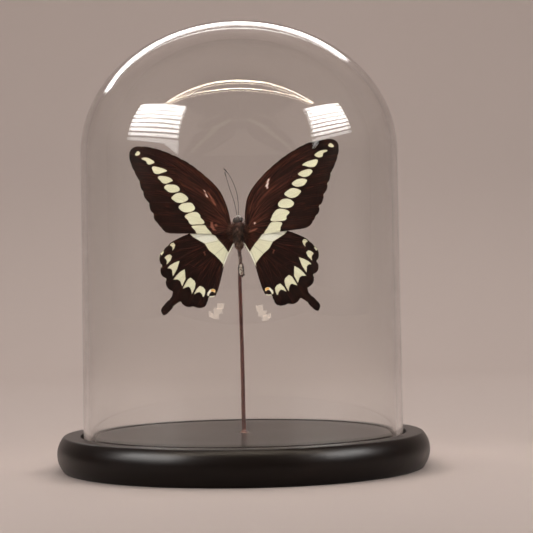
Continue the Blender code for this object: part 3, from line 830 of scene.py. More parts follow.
def wing_shape(marks, centre, side, front, lift, thickness, phase):
    """A wing as a fan about a centre near its root, on both faces.

    Point = centre + s (margin(t) - centre), with s from 0 to 1 and t once around the margin. It
    is then lifted about the thorax, set at the dihedral, bowed by a soft camber and rippled
    between the veins. The faces part by a thickness that thins towards the margin.
    """
    margin = bowed_outline(marks, MARGIN_STEP)
    rows = WING_ROWS
    s = np.linspace(0.0, 1.0, rows)[1:] ** 0.92
    flat = (centre + s[:, None, None] * (margin - centre)).reshape(-1, 2)
    flat = np.vstack([flat, centre])
    columns = len(margin)
    edge = np.maximum(signed_distance(flat, margin[::2]), 0.0)
    edge[(rows - 2) * columns:-1] = 0.0
    u = flat[:, 0] * math.cos(lift) - flat[:, 1] * math.sin(lift)
    v = flat[:, 1] * math.cos(lift) + flat[:, 0] * math.sin(lift)
    away = np.hypot(flat[:, 0], flat[:, 1])
    camber = -0.55 * np.sin(np.pi * np.clip(away / 56.0, 0.0, 1.0)) + 0.5 * (away / 50.0) ** 3
    waves = ripple(np.stack([u, v], -1), ((0.22, 0.15, 0.10, phase), (-0.13, 0.31, 0.07, 2.0 * phase),
                                         (0.36, -0.20, 0.05, 1.3)))
    thick = thickness * (0.35 + 0.65 * smooth_step(edge, 0.0, 2.5))
    level = THORAX[1] + front + 0.2 - u * math.tan(DIHEDRAL) + camber + waves * smooth_step(away, 4.0, 20.0)
    upper = np.stack([THORAX[0] + side * u, level - thick / 2.0, THORAX[2] + v], -1)
    lower = np.stack([THORAX[0] + side * u, level + thick / 2.0, THORAX[2] + v], -1)
    count = len(flat)
    fan = grid_quads(rows - 1, columns, True)
    tip = pole_fan(count - 1, np.arange(columns), False)
    outer_ring = np.arange((rows - 2) * columns, (rows - 1) * columns)
    following = np.roll(outer_ring, -1)
    rim = np.stack([outer_ring, outer_ring + count, following + count, following], -1)
    faces = [fan, tip, fan[:, ::-1] + count, tip[:, ::-1] + count, rim[:, ::-1]]
    return np.vstack([upper, lower]), faces, flat, edge


def vein_gap(flat, veins):
    """Distance in mm to the nearest vein, its sign changing each time a vein is crossed.

    The gap to one vein is measured to the nearest place on its straight stretches, and its side is
    the sign of the cross product there. The signs of all veins are multiplied, so that the value
    runs straight through zero at every vein.
    """
    nearest = np.full(len(flat), 99.0)
    sign = np.ones(len(flat))
    for vein in veins:
        start, end = np.array(vein[:-1]), np.array(vein[1:])
        run = end - start
        reach = flat[:, None, :] - start
        t = np.clip((reach * run).sum(2) / (run * run).sum(1), 0.0, 1.0)
        gaps = np.sqrt(((reach - t[..., None] * run) ** 2).sum(2))
        closest = gaps.argmin(1)
        row = np.arange(len(flat))
        side = run[closest, 0] * reach[row, closest, 1] - run[closest, 1] * reach[row, closest, 0]
        sign *= np.where(side >= 0.0, 1.0, -1.0)
        nearest = np.minimum(nearest, gaps[row, closest])
    return nearest * sign


def both(values):
    """The same values on the wing's two faces."""
    return np.concatenate([values, values])


def deepest(flat, loops):
    """The largest signed distance to any of the loops."""
    return np.maximum.reduce([np.full(len(flat), -9.0)] + [signed_distance(flat, loop) for loop in loops])


def add_wing(name, marks, side, front, lift, loops, veins, centre, material, phase):
    """One wing with its marks as signed distances, stored at the points.

    The pattern follows lanes that fan out from the root and bend with the leading edge: a lane is
    the bearing as a share of the leading edge's bearing at the same reach.
    """
    settings = bpy.context.scene.wing_settings
    centre = np.array(centre)
    points, faces, flat, edge = wing_shape(marks, centre, side, front, lift, settings.thickness / MM, phase)
    out = flat - centre
    reach = np.hypot(out[:, 0], out[:, 1])
    bearing = np.arctan2(out[:, 1], out[:, 0])
    leading = np.array([mark[:2] for mark in marks[:LEADING_MARKS[side]]]) - centre if front == 0.0 else None
    lane, costal = bearing * 0.9, 0.0 * reach
    if leading is not None:
        along, over = leading[:, 0], leading[:, 1]
        line = np.interp(reach, np.hypot(along, over), np.arctan2(over, along))
        lane = (bearing + 0.1) / (line + 0.1)
        costal = (smooth_step(lane, 0.55, 0.80) * smooth_step(-reach, -46.0, -28.0)
                  * smooth_step(reach, 5.0, 12.0))
    # Falls off away from the root; it carries the painted sheen near the root
    worn = np.exp(-(reach / 14.0) ** 2)
    corners = np.array([mark[:2] for mark in marks if len(mark) == 3 and mark[2] > 0.25])
    notch = np.hypot(flat[:, None, 0] - corners[None, :, 0], flat[:, None, 1] - corners[None, :, 1]).min(1)
    nicks = smooth_step(np.sin(reach * 1.9 + bearing * 23.0), 0.70, 0.97) * smooth_step(reach, 22.0, 30.0)
    fringe = np.maximum(nicks * 0.6, 1.0 - smooth_step(notch, 0.35, 0.85))
    flow = np.stack([reach, lane * 22.0], -1)
    add_piece(name, points, faces, material, "wing_scales", (name,), uv=np.vstack([flow, flow]),
              pale=both(deepest(flat, loops["pale"])), amber=both(deepest(flat, loops["amber"])),
              scuff=both(deepest(flat, loops["scuff"])), white=both(deepest(flat, loops["white"])),
              vein=both(vein_gap(flat, veins)), worn=both(worn), costal=both(costal), edge=both(edge),
              fringe=both(fringe), under=np.concatenate([np.zeros(len(flat)), np.ones(len(flat))]))


# Rings of the body: height v, centre across, half width, half depth, in mm
BODY_RINGS = (
    (4.2, -0.1, 0.6, 0.7), (3.8, -0.1, 1.3, 1.5), (2.9, 0.0, 2.0, 2.4), (1.2, 0.0, 2.35, 2.9),
    (-0.8, 0.0, 2.2, 2.9), (-2.6, 0.05, 1.8, 2.4), (-3.8, 0.1, 1.35, 1.9), (-4.6, 0.1, 1.50, 1.9),
    (-5.9, 0.12, 1.80, 2.0), (-7.2, 0.15, 1.40, 1.9), (-7.9, 0.2, 0.80, 1.8), (-8.6, 0.3, 0.72, 1.8),
    (-11.0, 0.5, 0.60, 1.7), (-14.0, 0.7, 0.55, 1.6), (-15.2, 0.75, 0.85, 1.6), (-18.0, 0.85, 1.15, 1.5),
    (-19.8, 0.95, 1.0, 1.2), (-20.4, 1.0, 0.5, 0.7),
)
HEAD = (-0.37, 0.0, 5.9)
HAIR_POINTS = 7


def body_surface(v, turn):
    """A point of the body and its outward direction, from the height v and the turn about it.

    The point is (cx + w cos a, -d sin a, v), with cx, w and d read between the rings.
    """
    rings = np.array(BODY_RINGS)[::-1]
    cx, wide, deep = (np.interp(v, rings[:, 0], rings[:, k]) for k in (1, 2, 3))
    place = np.stack([cx + wide * np.cos(turn), -deep * np.sin(turn), v], -1)
    wide, deep = np.maximum(wide, 0.3), np.maximum(deep, 0.3)
    return place, unit(np.stack([np.cos(turn) / wide, -np.sin(turn) / deep, 0.0 * v], -1))


def hair_shape(roots, ways, lengths, widths, droop):
    """Thin three-sided hairs: root ring, middle ring and tip, bent along the droop direction."""
    count = len(roots)
    across = unit(np.cross(ways, (0.21, 0.35, 0.91)))
    over = np.cross(ways, across)
    turn = np.radians((90.0, 210.0, 330.0))
    spoke = (np.cos(turn)[None, :, None] * across[:, None] + np.sin(turn)[None, :, None] * over[:, None])
    length, width = lengths[:, None, None], widths[:, None, None]
    roots, ways, droop = roots[:, None], ways[:, None], droop[:, None]
    base = roots + spoke * width
    middle = roots + ways * length * 0.5 + droop * length * 0.15 + spoke * width * 0.7
    tip = roots + ways * length * 0.85 + droop * length * 0.5
    points = np.concatenate([base, middle, tip], axis=1).reshape(-1, 3)
    start = np.arange(count)[:, None] * HAIR_POINTS
    sides = ((0, 1, 4, 3), (1, 2, 5, 4), (2, 0, 3, 5))
    ends = ((3, 4, 6), (4, 5, 6), (5, 3, 6), (2, 1, 0))
    faces = [np.vstack([start + np.array(face) for face in group]) for group in (sides, ends)]
    tip_share = np.tile((0.0, 0.0, 0.0, 0.35, 0.35, 0.35, 1.0), count)
    return points, faces, tip_share


def add_hair(name, material, seed, count, low, high, reach, comb, tufts, light=None):
    """Hair grown from the body between two heights, combed along a direction and gathered in tufts.

    Each hair belongs to the nearest of a number of tufts. It leans towards the tuft's middle and
    shares most of its tone and direction.
    """
    random = np.random.default_rng(seed)
    v, turn = random.uniform(low, high, count), random.uniform(0.0, 2.0 * np.pi, count)
    tuft_v, tuft_turn = random.uniform(low, high, tufts), random.uniform(0.0, 2.0 * np.pi, tufts)
    swing = np.abs((turn[:, None] - tuft_turn[None] + np.pi) % (2.0 * np.pi) - np.pi) * 2.2
    mine = np.hypot(v[:, None] - tuft_v[None], swing).argmin(1)
    roots, out = body_surface(v, turn)
    middles, _ = body_surface(tuft_v, tuft_turn)
    lean = random.normal(0.0, 0.38, (tufts, 3))
    lengths = random.uniform(reach[0], reach[1], count) * random.uniform(0.75, 1.2, tufts)[mine]
    ways = out * random.uniform(0.35, 0.8, (count, 1)) + np.array(comb) + lean[mine]
    ways = unit(ways + random.normal(0.0, 0.12, (count, 3)) + (middles[mine] - roots) * 0.35)
    droop = np.array(comb) * 0.6 + random.normal(0.0, 0.22, (count, 3))
    points, faces, tip = hair_shape(roots + THORAX, ways, lengths, random.uniform(0.035, 0.065, count), droop)
    tone = 0.75 * random.uniform(0.0, 1.0, tufts)[mine] ** 3.5 + 0.25 * random.uniform(0.0, 1.0, count) ** 3.0
    if light is not None:
        tone = np.minimum(tone + light(v, turn), 1.0)
    add_piece(name, points, faces, material, "fur", tone=np.repeat(tone, HAIR_POINTS), tip=tip)


def add_root_hair(name, material, seed, count, side):
    """Long hair that lies over the root of the wings on one side, fanned like their veins."""
    random = np.random.default_rng(seed)
    bearing = random.uniform(math.radians(-58.0), math.radians(76.0), count)
    start = random.uniform(1.4, 3.6, count)
    roots = np.stack([side * start * np.cos(bearing), 0.0 * start, 0.2 + start * np.sin(bearing)], -1)
    roots[:, 1] = -0.35 - np.abs(roots[:, 0]) * math.tan(DIHEDRAL) - random.uniform(0.0, 0.5, count)
    bearing = bearing + random.normal(0.0, 0.30, count)
    ways = np.stack([side * np.cos(bearing), -math.tan(DIHEDRAL) * np.cos(bearing), np.sin(bearing)], -1)
    droop = np.array((0.0, 0.04, -0.25)) + random.normal(0.0, 0.06, (count, 3))
    points, faces, tip = hair_shape(roots + THORAX, ways, random.uniform(1.0, 3.8, count),
                                    random.uniform(0.03, 0.055, count), droop)
    tone = (0.5 + 0.5 * np.sin(bearing * 13.0)) ** 2 * random.uniform(0.0, 1.0, count) ** 2
    add_piece(name, points, faces, material, "fur", tone=np.repeat(tone, HAIR_POINTS), tip=tip)


class DOME_OT_base(bpy.types.Operator):
    """Turn the wooden base"""

    bl_idname = "dome.base"
    bl_label = "Wooden base"

    def execute(self, context):
        """Makes the base from its profile."""
        settings = context.scene.base_settings
        profile = base_profile(settings.edge_round / MM)
        points, faces = turned(profile, settings.sides)
        made = add_piece("turned_base", points, faces, wood_finish(settings), "dark_wood", ("base",))
        made.data.set_sharp_from_angle(angle=math.radians(50))
        return {"FINISHED"}


class DOME_OT_glass(bpy.types.Operator):
    """Blow the glass dome"""

    bl_idname = "dome.glass"
    bl_label = "Glass dome"

    def execute(self, context):
        """Makes the dome's closed wall from its profile."""
        points, faces = turned(dome_profile(), context.scene.base_settings.sides)
        add_piece("glass_dome", points, faces, glass_finish(context.scene.glass_settings), "glass", ("dome",))
        return {"FINISHED"}


class DOME_OT_stem(bpy.types.Operator):
    """Set the rod, its glue bead and the pin"""

    bl_idname = "dome.stem"
    bl_label = "Stem and pin"

    def execute(self, context):
        """Makes the rod with a slightly uneven surface, the bead at its foot and the wire."""
        path = smooth_line(STEM_ROUTE, 0.8)
        way = np.linspace(0.0, 1.0, len(path))
        radii = STEM_RADII[0] + way * (STEM_RADII[1] - STEM_RADII[0])
        radii[0] *= 0.8
        radii[-1] *= 0.75
        sides = 28
        turn = np.linspace(0.0, 2.0 * np.pi, sides, endpoint=False)
        lobes = (0.020 * np.sin(3.0 * turn + 9.0 * way[:, None]) + 0.022 * np.sin(31.0 * way[:, None] + turn)
                 + 0.012 * np.sin(83.0 * way[:, None] + 2.0 * turn))
        points, faces, flow = swept(path, radii, sides, lobes)
        rod = rod_finish(context.scene.stem_settings)
        add_piece("rod", points, faces, rod, "stem_wood", ("stem",), uv=flow)
        path = smooth_line(PIN_ROUTE, 0.5)
        points, faces, flow = swept(path, np.full(len(path), PIN_RADIUS), 12)
        add_piece("wire", points, faces, steel_finish(), "steel", ("pin",), uv=flow)
        sides = 40
        turn = np.linspace(0.0, 2.0 * np.pi, sides, endpoint=False)
        height = np.array((-0.25, -0.05, 0.12, 0.3, 0.5, 0.75, 1.05))
        radius = np.array((1.25, 2.3, 2.25, 1.95, 1.6, 1.3, 1.08))
        uneven = 1.0 + 0.07 * np.sin(2.0 * turn + 0.6) + 0.04 * np.sin(5.0 * turn)
        wide = 1.02 + (radius[:, None] - 1.02) * uneven
        rings = np.stack([0.15 + wide * np.cos(turn), wide * np.sin(turn),
                          BASE_HEIGHT + height[:, None] + 0.0 * turn], -1).reshape(-1, 3)
        ends = [(0.15, 0.0, BASE_HEIGHT + end) for end in (height[0], height[-1])]
        faces = ringed_faces(len(height), sides)
        add_piece("glue_bead", np.vstack([rings, ends]), faces, glue_finish(), "stem_wood")
        return {"FINISHED"}


class DOME_OT_wings(bpy.types.Operator):
    """Set the four wings"""

    bl_idname = "dome.wings"
    bl_label = "Wings"

    def execute(self, context):
        """Makes the forewings and the hindwings, which lie a little behind them."""
        material = wing_finish(context.scene.wing_settings)
        fore_root, hind_root = (4.6, 1.2), (3.5, -2.0)
        for name, side, marks, spots, scuffs, veins, phase in (
                ("forewing_left", -1, FOREWING_LEFT, SPOTS_LEFT, PAINTED_GLINTS_LEFT, VEINS_LEFT, 0.4),
                ("forewing_right", 1, FOREWING_RIGHT, SPOTS_RIGHT, PAINTED_GLINTS_RIGHT, VEINS_RIGHT, 1.1)):
            # The white loops on the forewings are the painted glints that are whitish: the first on the left,
            # the first two on the right
            loops = {"pale": [closed_line(spot, 0.3) for spot in spots], "amber": (), "scuff": scuffs,
                     "white": scuffs[:1] if side < 0 else scuffs[:2]}
            add_wing(name, marks, side, 0.0, 0.0, loops, veins, fore_root, material, phase)
        loops = {"pale": [BAND, *CRESCENTS, INNER_STRIP, EDGE_SPECK], "amber": (TORNAL_ARC,),
                 "scuff": PAINTED_GLINTS_HIND, "white": [*WHITES, INNER_STRIP, EDGE_SPECK]}
        for name, side, lift, phase in (
                ("hindwing_left", -1, 0.0, 0.7),
                ("hindwing_right", 1, HINDWING_LIFT, 1.7)):
            add_wing(name, HINDWING, side, HINDWING_BEHIND, lift, loops, VEINS_HIND, hind_root, material,
                     phase)
        return {"FINISHED"}


class DOME_OT_body(bpy.types.Operator):
    """Build the head, thorax and dried abdomen, with their hair"""

    bl_idname = "dome.body"
    bl_label = "Body"

    def execute(self, context):
        """Makes the shell of the body, the head with its eyes and coiled tongue, and the hair."""
        settings = context.scene.body_settings
        shell = shell_finish(settings)
        v = np.linspace(BODY_RINGS[0][0], BODY_RINGS[-1][0], 170)
        sides = 44
        turn = np.linspace(0.0, 2.0 * np.pi, sides, endpoint=False)
        grid_v, grid_turn = np.repeat(v, sides), np.tile(turn, len(v))
        place, out = body_surface(grid_v, grid_turn)
        dried = smooth_step(-grid_v, 6.0, 9.0)
        belt = smooth_step(-grid_v, 5.0, 8.0) * 0.10 * np.cos(grid_v * 2.0 * np.pi / 1.55)
        wrinkle = 0.07 * np.sin(grid_v * 5.1 + 3.0 * np.sin(grid_turn * 2.0)) * dried
        twist = 0.12 * np.sin(grid_turn * 2.0 + grid_v * 1.3) * dried
        place = place + out * (belt + wrinkle + twist)[:, None]
        front = np.abs(np.cos(grid_turn))
        core = (smooth_step(-grid_v, 14.4, 15.0) * smooth_step(-front, -0.85, -0.60)
                * smooth_step(grid_v, -20.0, -19.2))
        hem = (smooth_step(-grid_v, 9.5, 11.0) * smooth_step(-np.cos(grid_turn), 0.35, 0.8)
               * smooth_step(grid_v, -14.6, -13.8))
        points = np.vstack([place, (-0.1, 0.0, 4.5), (1.0, 0.0, -20.7)]) + THORAX
        add_piece("body_shell", points, ringed_faces(len(v), sides), body_finish(), "horn", ("body",),
                  pale=np.concatenate([np.maximum(core, 0.8 * hem), np.zeros(2)]))
        self.head(shell)
        self.claspers(shell)
        dark = tuple(settings.hair)
        thorax = hair_finish("hair", (0.135, 0.068, 0.048), dark, (0.32, 0.22, 0.17))
        waist = hair_finish("hair_brown", (0.190, 0.090, 0.062), (0.045, 0.017, 0.011), (0.42, 0.30, 0.24))
        red = hair_finish("hair_red", (0.300, 0.100, 0.055), (0.014, 0.006, 0.004), (0.46, 0.20, 0.12))
        # Whitish hair for the crest; its white partly stands in for the glint on the head, a painted
        # highlight
        white = hair_finish("hair_white_and_glint", (0.80, 0.78, 0.76), (0.42, 0.40, 0.39), (0.92, 0.91, 0.90))

        def spine(height, angle):
            """Paler down the middle of the thorax's front."""
            middle = np.exp(-((angle - 0.5 * np.pi + 0.25 * np.sin(height * 2.3)) / 0.20) ** 2)
            return 0.85 * middle * smooth_step(height, -2.6, -1.2) * (1.0 - smooth_step(height, 1.4, 2.6))

        def pad(height, angle):
            """Paler in the middle of the round pad at the waist."""
            return 0.5 * np.exp(-((height + 6.0) / 0.9) ** 2 - ((angle - 0.5 * np.pi) / 0.7) ** 2)

        add_hair("thorax_hair", thorax, 11, settings.hairs, -3.8, 4.0, (0.9, 2.3), (0.0, 0.0, -0.9), 90,
                 spine)
        add_hair("waist_hair", waist, 12, 4200, -7.7, -4.2, (0.35, 0.85), (0.0, 0.0, -0.25), 60, pad)
        add_hair("neck_hair", thorax, 13, 700, 2.4, 3.8, (0.4, 1.0), (0.0, 0.0, 0.1), 18)
        add_hair("tip_hair", thorax, 14, 260, -20.2, -15.0, (0.5, 1.3), (0.0, 0.0, -0.5), 30)
        add_hair("abdomen_hair", thorax, 18, 900, -14.6, -7.2, (0.3, 0.9), (0.0, 0.0, -0.9), 36)
        add_root_hair("root_hair_left", red, 15, 1100, -1)
        add_root_hair("root_hair_right", red, 16, 1100, 1)
        self.crest(white)
        return {"FINISHED"}

    def claspers(self, shell):
        """Two curved blades that part round the pale core at the tip of the body."""
        for word, side, low in (("left", -1, -20.2), ("right", 1, -21.0)):
            marks = np.array(((0.75 + side * 0.20, -0.2, -13.6), (0.80 + side * 0.85, -0.5, -15.2),
                              (0.80 + side * 1.02, -0.6, -17.2), (0.95 + side * 0.80, -0.6, -19.2),
                              (1.10 + side * 0.30, -0.3, low)))
            path = smooth_line(marks + THORAX, 0.12)
            way = np.linspace(0.0, 1.0, len(path))
            belly = (0.24 + 0.10 * side) * np.sin(np.pi * way) ** 0.8
            radii = (0.16 + belly + 0.06 * np.sin(way * 37.0 + side)) * rounded_end(way, 0.06)
            points, faces, flow = swept(path, radii, 14)
            add_piece("clasper_" + word, points, faces, shell, "horn", uv=flow)

    def crest(self, material):
        """A low tuft of whitish hair across the top of the head; its white also stands in for a glint there,
        a painted highlight.
        """
        random = np.random.default_rng(17)
        count = 600
        angle = random.uniform(math.radians(50.0), math.radians(132.0), count)
        roots = np.stack([HEAD[0] + 0.25 + 1.35 * np.cos(angle), random.uniform(-0.9, 0.3, count),
                          HEAD[2] - 0.10 + 1.35 * np.sin(angle)], -1)
        ways = np.stack([np.cos(angle) + 0.3, random.uniform(-0.9, 0.1, count), np.sin(angle)], -1)
        ways = unit(ways + random.normal(0.0, 0.2, (count, 3)))
        lengths, widths = random.uniform(0.25, 0.6, count), random.uniform(0.03, 0.05, count)
        droop = random.normal(0.0, 0.3, (count, 3))
        points, faces, tip = hair_shape(roots + THORAX, ways, lengths, widths, droop)
        tone = random.uniform(0.0, 1.0, count)
        add_piece("head_crest", points, faces, material, "fur", tone=np.repeat(tone, HAIR_POINTS), tip=tip)

    def head(self, shell):
        """Head capsule, two round eyes and the coiled tongue, which is a flat spiral."""
        sides = 36
        ring = np.linspace(0.0, 2.0 * np.pi, sides, endpoint=False)
        lean = np.linspace(-0.5 * np.pi, 0.5 * np.pi, 19)[1:-1]

        def ball(centre, radii):
            """An ellipsoid: centre + radii * (cos b cos a, cos b sin a, sin b)."""
            rows = np.stack([np.cos(lean)[:, None] * np.cos(ring), np.cos(lean)[:, None] * np.sin(ring),
                             np.sin(lean)[:, None] + 0.0 * ring], -1).reshape(-1, 3)
            rows = np.vstack([rows, (0.0, 0.0, -1.0), (0.0, 0.0, 1.0)])
            return rows * np.array(radii) + np.array(centre) + THORAX, ringed_faces(len(lean), sides)

        points, faces = ball((HEAD[0] + 0.1, 0.1, HEAD[2] - 0.5), (1.35, 1.3, 1.55))
        add_piece("head", points, faces, shell, "horn")
        eye = eye_finish()
        for word, side in (("left", -1), ("right", 1)):
            centre = (HEAD[0] + 0.12 + side * 1.36, -0.35, HEAD[2] - 0.60 + side * 0.12)
            points, faces = ball(centre, (0.95, 1.15, 1.25))
            add_piece("eye_" + word, points, faces, eye, "horn")
        coil = np.linspace(0.0, 4.6 * np.pi, 150)
        radius = 0.85 - 0.6 * coil / coil[-1]
        path = np.stack([HEAD[0] + 0.0 * coil, -0.25 + radius * np.sin(coil) * 0.8,
                         HEAD[2] + 1.15 + radius * np.cos(coil) * 0.5], -1)
        points, faces, _ = swept(path + THORAX, np.linspace(0.13, 0.06, len(coil)), 10)
        add_piece("tongue", points, faces, shell, "horn")


class DOME_OT_feelers(bpy.types.Operator):
    """Set the two clubbed feelers"""

    bl_idname = "dome.feelers"
    bl_label = "Feelers"

    ROUTES = {
        "antenna_left": ((-0.5, -0.2, 7.0), (-1.7, -0.3, 13.3), (-3.8, -0.1, 20.0), (-5.4, 0.6, 25.7),
                         (-5.9, 1.0, 27.6)),
        "antenna_right": ((0.1, -0.2, 7.0), (0.0, -0.6, 13.9), (-0.9, -1.6, 19.2), (-3.1, -2.6, 24.5),
                          (-5.3, -3.3, 27.8), (-6.4, -3.4, 28.8)),
    }

    def execute(self, context):
        """Makes ringed shafts that swell into clubs."""
        shell = shell_finish(context.scene.body_settings, "feeler", 0.42)
        for name, marks in self.ROUTES.items():
            path = smooth_line(np.array(marks) + THORAX, 0.09)
            way = np.linspace(0.0, 1.0, len(path))
            club = 1.0 + 0.95 * smooth_step(way, 0.84, 0.95)
            rings = 1.0 + 0.10 * np.cos(way * 2.0 * np.pi * 52.0)
            radii = 0.14 * club * rings * rounded_end(way, 0.02)
            points, faces, flow = swept(path, radii, 12)
            add_piece(name, points, faces, shell, "horn", (name,), uv=flow)
        return {"FINISHED"}


class DOME_OT_legs(bpy.types.Operator):
    """Fold the six legs behind the thorax"""

    bl_idname = "dome.legs"
    bl_label = "Legs"

    ROUTES = {
        "front": ((1.0, 2.6, 4.0), (2.4, 4.4, 3.6), (2.6, 5.1, 5.1), (1.8, 4.8, 6.4), (1.3, 4.3, 7.0)),
        "middle": ((1.2, 3.2, 1.2), (2.9, 5.7, 2.0), (3.7, 6.0, 0.2), (2.8, 5.4, -3.0), (2.1, 4.9, -5.0)),
        "hind": ((1.1, 2.9, -1.6), (2.2, 4.2, -0.6), (4.3, 4.4, -2.6), (3.7, 3.6, -5.8), (2.9, 3.0, -7.6)),
    }

    def execute(self, context):
        """Makes each leg with a thick thigh, a thin shin and a jointed foot."""
        shell = shell_finish(context.scene.body_settings, "leg", 0.40)
        for pair, marks in self.ROUTES.items():
            for side, word in ((-1, "left"), (1, "right")):
                path = smooth_line(np.array(marks) * (side, 1.0, 1.0) + THORAX, 0.12)
                way = np.linspace(0.0, 1.0, len(path))
                thigh = 0.30 * np.exp(-((way - 0.18) / 0.16) ** 2)
                shin = 0.18 * np.exp(-((way - 0.58) / 0.14) ** 2)
                foot = 0.10 * (1.0 + 0.25 * np.cos(way * 2.0 * np.pi * 16.0)) * smooth_step(way, 0.6, 0.8)
                radii = (np.maximum(0.09, np.maximum(thigh, shin)) + 0.3 * foot) * rounded_end(way, 0.03)
                points, faces, flow = swept(path, radii, 12)
                name = "leg_" + word + "_" + pair
                add_piece(name, points, faces, shell, "horn", (name,), uv=flow)
        return {"FINISHED"}


# What the lamps face, in metres
BUTTERFLY = (0.0, 0.0, 0.15)
BACKDROP = (0.0, 1.2, 0.4)
FLOOR_IN_FRONT = (0.0, -1.1, 0.0)

# The floor and backdrop, in mm, and the camera, in metres
FLOOR_HALF_WIDTH = 3600.0
FLOOR_FRONT = -3400.0
FLOOR_BEND_START = 700.0
FLOOR_BEND_RADIUS = 500.0
BACKDROP_TOP = 2400.0
CAMERA_PLACE = (0.0117, -0.85, 0.0917)
CAMERA_ROLL = 0.016
CAMERA_LENS = 125.36
LINES_HEIGHT = 1.16
WINDOWS_DISTANCE = -1.6


class DOME_OT_stage(bpy.types.Operator):
    """Lay the floor and set the lamps and the camera"""

    bl_idname = "dome.stage"
    bl_label = "Stage"

    def room(self, scene, light):
        """A dim room, with a paler haze seen past the floor's sides but not mirrored in the glass."""
        scene.world = bpy.data.worlds.new("room")
        scene.world.use_nodes = True
        tree = scene.world.node_tree
        way, path = tree.nodes.new("ShaderNodeTexCoord"), tree.nodes.new("ShaderNodeLightPath")
        axes, level = tree.nodes.new("ShaderNodeSeparateXYZ"), tree.nodes.new("ShaderNodeMapRange")
        seen, haze, tone = (tree.nodes.new("ShaderNodeMath") for _ in range(3))
        seen.operation, haze.operation, tone.operation = "MAXIMUM", "MULTIPLY", "MULTIPLY_ADD"
        tree.links.new(axes.inputs[0], way.outputs["Generated"])
        tree.links.new(level.inputs["Value"], axes.outputs["Y"])
        level.inputs["From Min"].default_value, level.inputs["From Max"].default_value = -0.45, -0.20
        tree.links.new(seen.inputs[0], path.outputs["Is Camera Ray"])
        tree.links.new(seen.inputs[1], path.outputs["Is Transmission Ray"])
        tree.links.new(haze.inputs[0], seen.outputs[0])
        tree.links.new(haze.inputs[1], level.outputs["Result"])
        tree.links.new(tone.inputs[0], haze.outputs[0])
        tone.inputs[1].default_value, tone.inputs[2].default_value = 0.33 * light, 0.05 * light
        background = tree.nodes["Background"]
        background.inputs["Color"].default_value = (0.60, 0.51, 0.46, 1.0)
        tree.links.new(background.inputs["Strength"], tone.outputs[0])

    def lamp(self, name, ends, width, watts, colour, kind, target=BUTTERFLY):
        """A rectangular lamp between two ends, facing a target as squarely as its ends allow.

        A mirrored lamp shows only in glass and gloss, and a soft one only lights matt surfaces. A
        glint is mirrored by the glass's outside alone.
        """
        start, end = np.array(ends)
        middle = (start + end) / 2.0
        size = float(np.linalg.norm(end - start))
        right = (end - start) / size
        back = middle - target
        back = back - right * (back @ right)
        back /= np.linalg.norm(back)
        data = bpy.data.lights.new(name, "AREA")
        data.shape = "RECTANGLE"
        data.size, data.size_y, data.energy = size, width, watts * bpy.context.scene.stage_settings.light
        data.color = colour
        lamp = bpy.data.objects.new(name, data)
        turn = Matrix(np.stack([right, np.cross(back, right), back], 1).tolist())
        lamp.location, lamp.rotation_euler = middle, turn.to_euler()
        lamp.visible_camera = False
        lamp.visible_glossy, lamp.visible_transmission = kind != "soft", kind == "mirrored"
        lamp.visible_diffuse = kind == "soft"
        bpy.context.scene.collection.objects.link(lamp)

    def execute(self, context):
        """A floor that curves up into a backdrop, soft lamps and a level camera."""
        settings = context.scene.stage_settings
        across = np.array((-FLOOR_HALF_WIDTH, FLOOR_HALF_WIDTH))
        bend = arc((FLOOR_BEND_START, FLOOR_BEND_RADIUS), FLOOR_BEND_RADIUS, -90.0, 0.0, 25)
        line = np.vstack([(FLOOR_FRONT, 0.0), bend, (FLOOR_BEND_START + FLOOR_BEND_RADIUS, BACKDROP_TOP)])
        rows = len(line)
        points = np.stack([np.tile(across, rows), np.repeat(line[:, 0], 2), np.repeat(line[:, 1], 2)], -1)
        mesh = bpy.data.meshes.new("floor")
        mesh.from_pydata((points * MM).tolist(), [], grid_quads(rows, 2, False)[:, ::-1].tolist())
        mesh.shade_smooth()
        mesh.materials.append(stage_finish(settings))
        floor = bpy.data.objects.new("floor", mesh)
        context.scene.collection.objects.link(floor)

        self.room(context.scene, settings.light)
        neutral, warm = (1.0, 0.98, 0.96), (1.0, 0.84, 0.66)
        # Panels of lit rows: outer end and inner end of the lowest row, height of the panel, watts
        rows = 9
        for name, outer, inner, tall, watts in (
                ("left_panel", (-0.844, -0.104, 0.250), (-0.433, -0.498, 0.172), 0.465, 12.0),
                ("right_panel", (0.848, -0.052, 0.300), (0.523, -0.402, 0.178), 0.385, 9.0)):
            for row in range(rows):
                rise = np.array((0.0, 0.0, tall * (row + 0.5) / rows))
                ends = np.array(outer) + rise, np.array(inner) + rise
                share = min(1.0, 0.16 + 0.22 * row)
                self.lamp(f"{name}_{row + 1}", ends, tall / rows * 0.62, watts * share / rows, neutral,
                          "mirrored")
        for name, start, end, width, watts, kind, target in (
                ("rim_strip", (-0.66, 0.90, 0.625), (0.36, 0.90, 0.625), 0.075, 1.4, "mirrored", BUTTERFLY),
                ("left_soft", (-0.80, -0.25, 0.45), (-0.50, -0.55, 0.45), 0.45, 2.8, "soft", BUTTERFLY),
                ("right_soft", (0.80, -0.20, 0.45), (0.55, -0.50, 0.45), 0.45, 2.8, "soft", BUTTERFLY),
                ("back_soft", (-0.45, 0.85, 0.62), (0.45, 0.85, 0.62), 0.30, 1.6, "soft", BUTTERFLY),
                ("backdrop_wash", (-0.9, 0.30, 1.5), (0.9, 0.30, 1.5), 0.5, 8.8, "soft", BACKDROP),
                ("floor_wash", (-3.4, -1.1, 2.7), (3.4, -1.1, 2.7), 5.0, 41.0, "soft", FLOOR_IN_FRONT),
                ("front_fill", (-0.8, -2.7, 1.5), (0.8, -2.7, 1.5), 1.2, 9.0, "soft", BUTTERFLY)):
            self.lamp(name, (start, end), width, watts, neutral, kind, target)
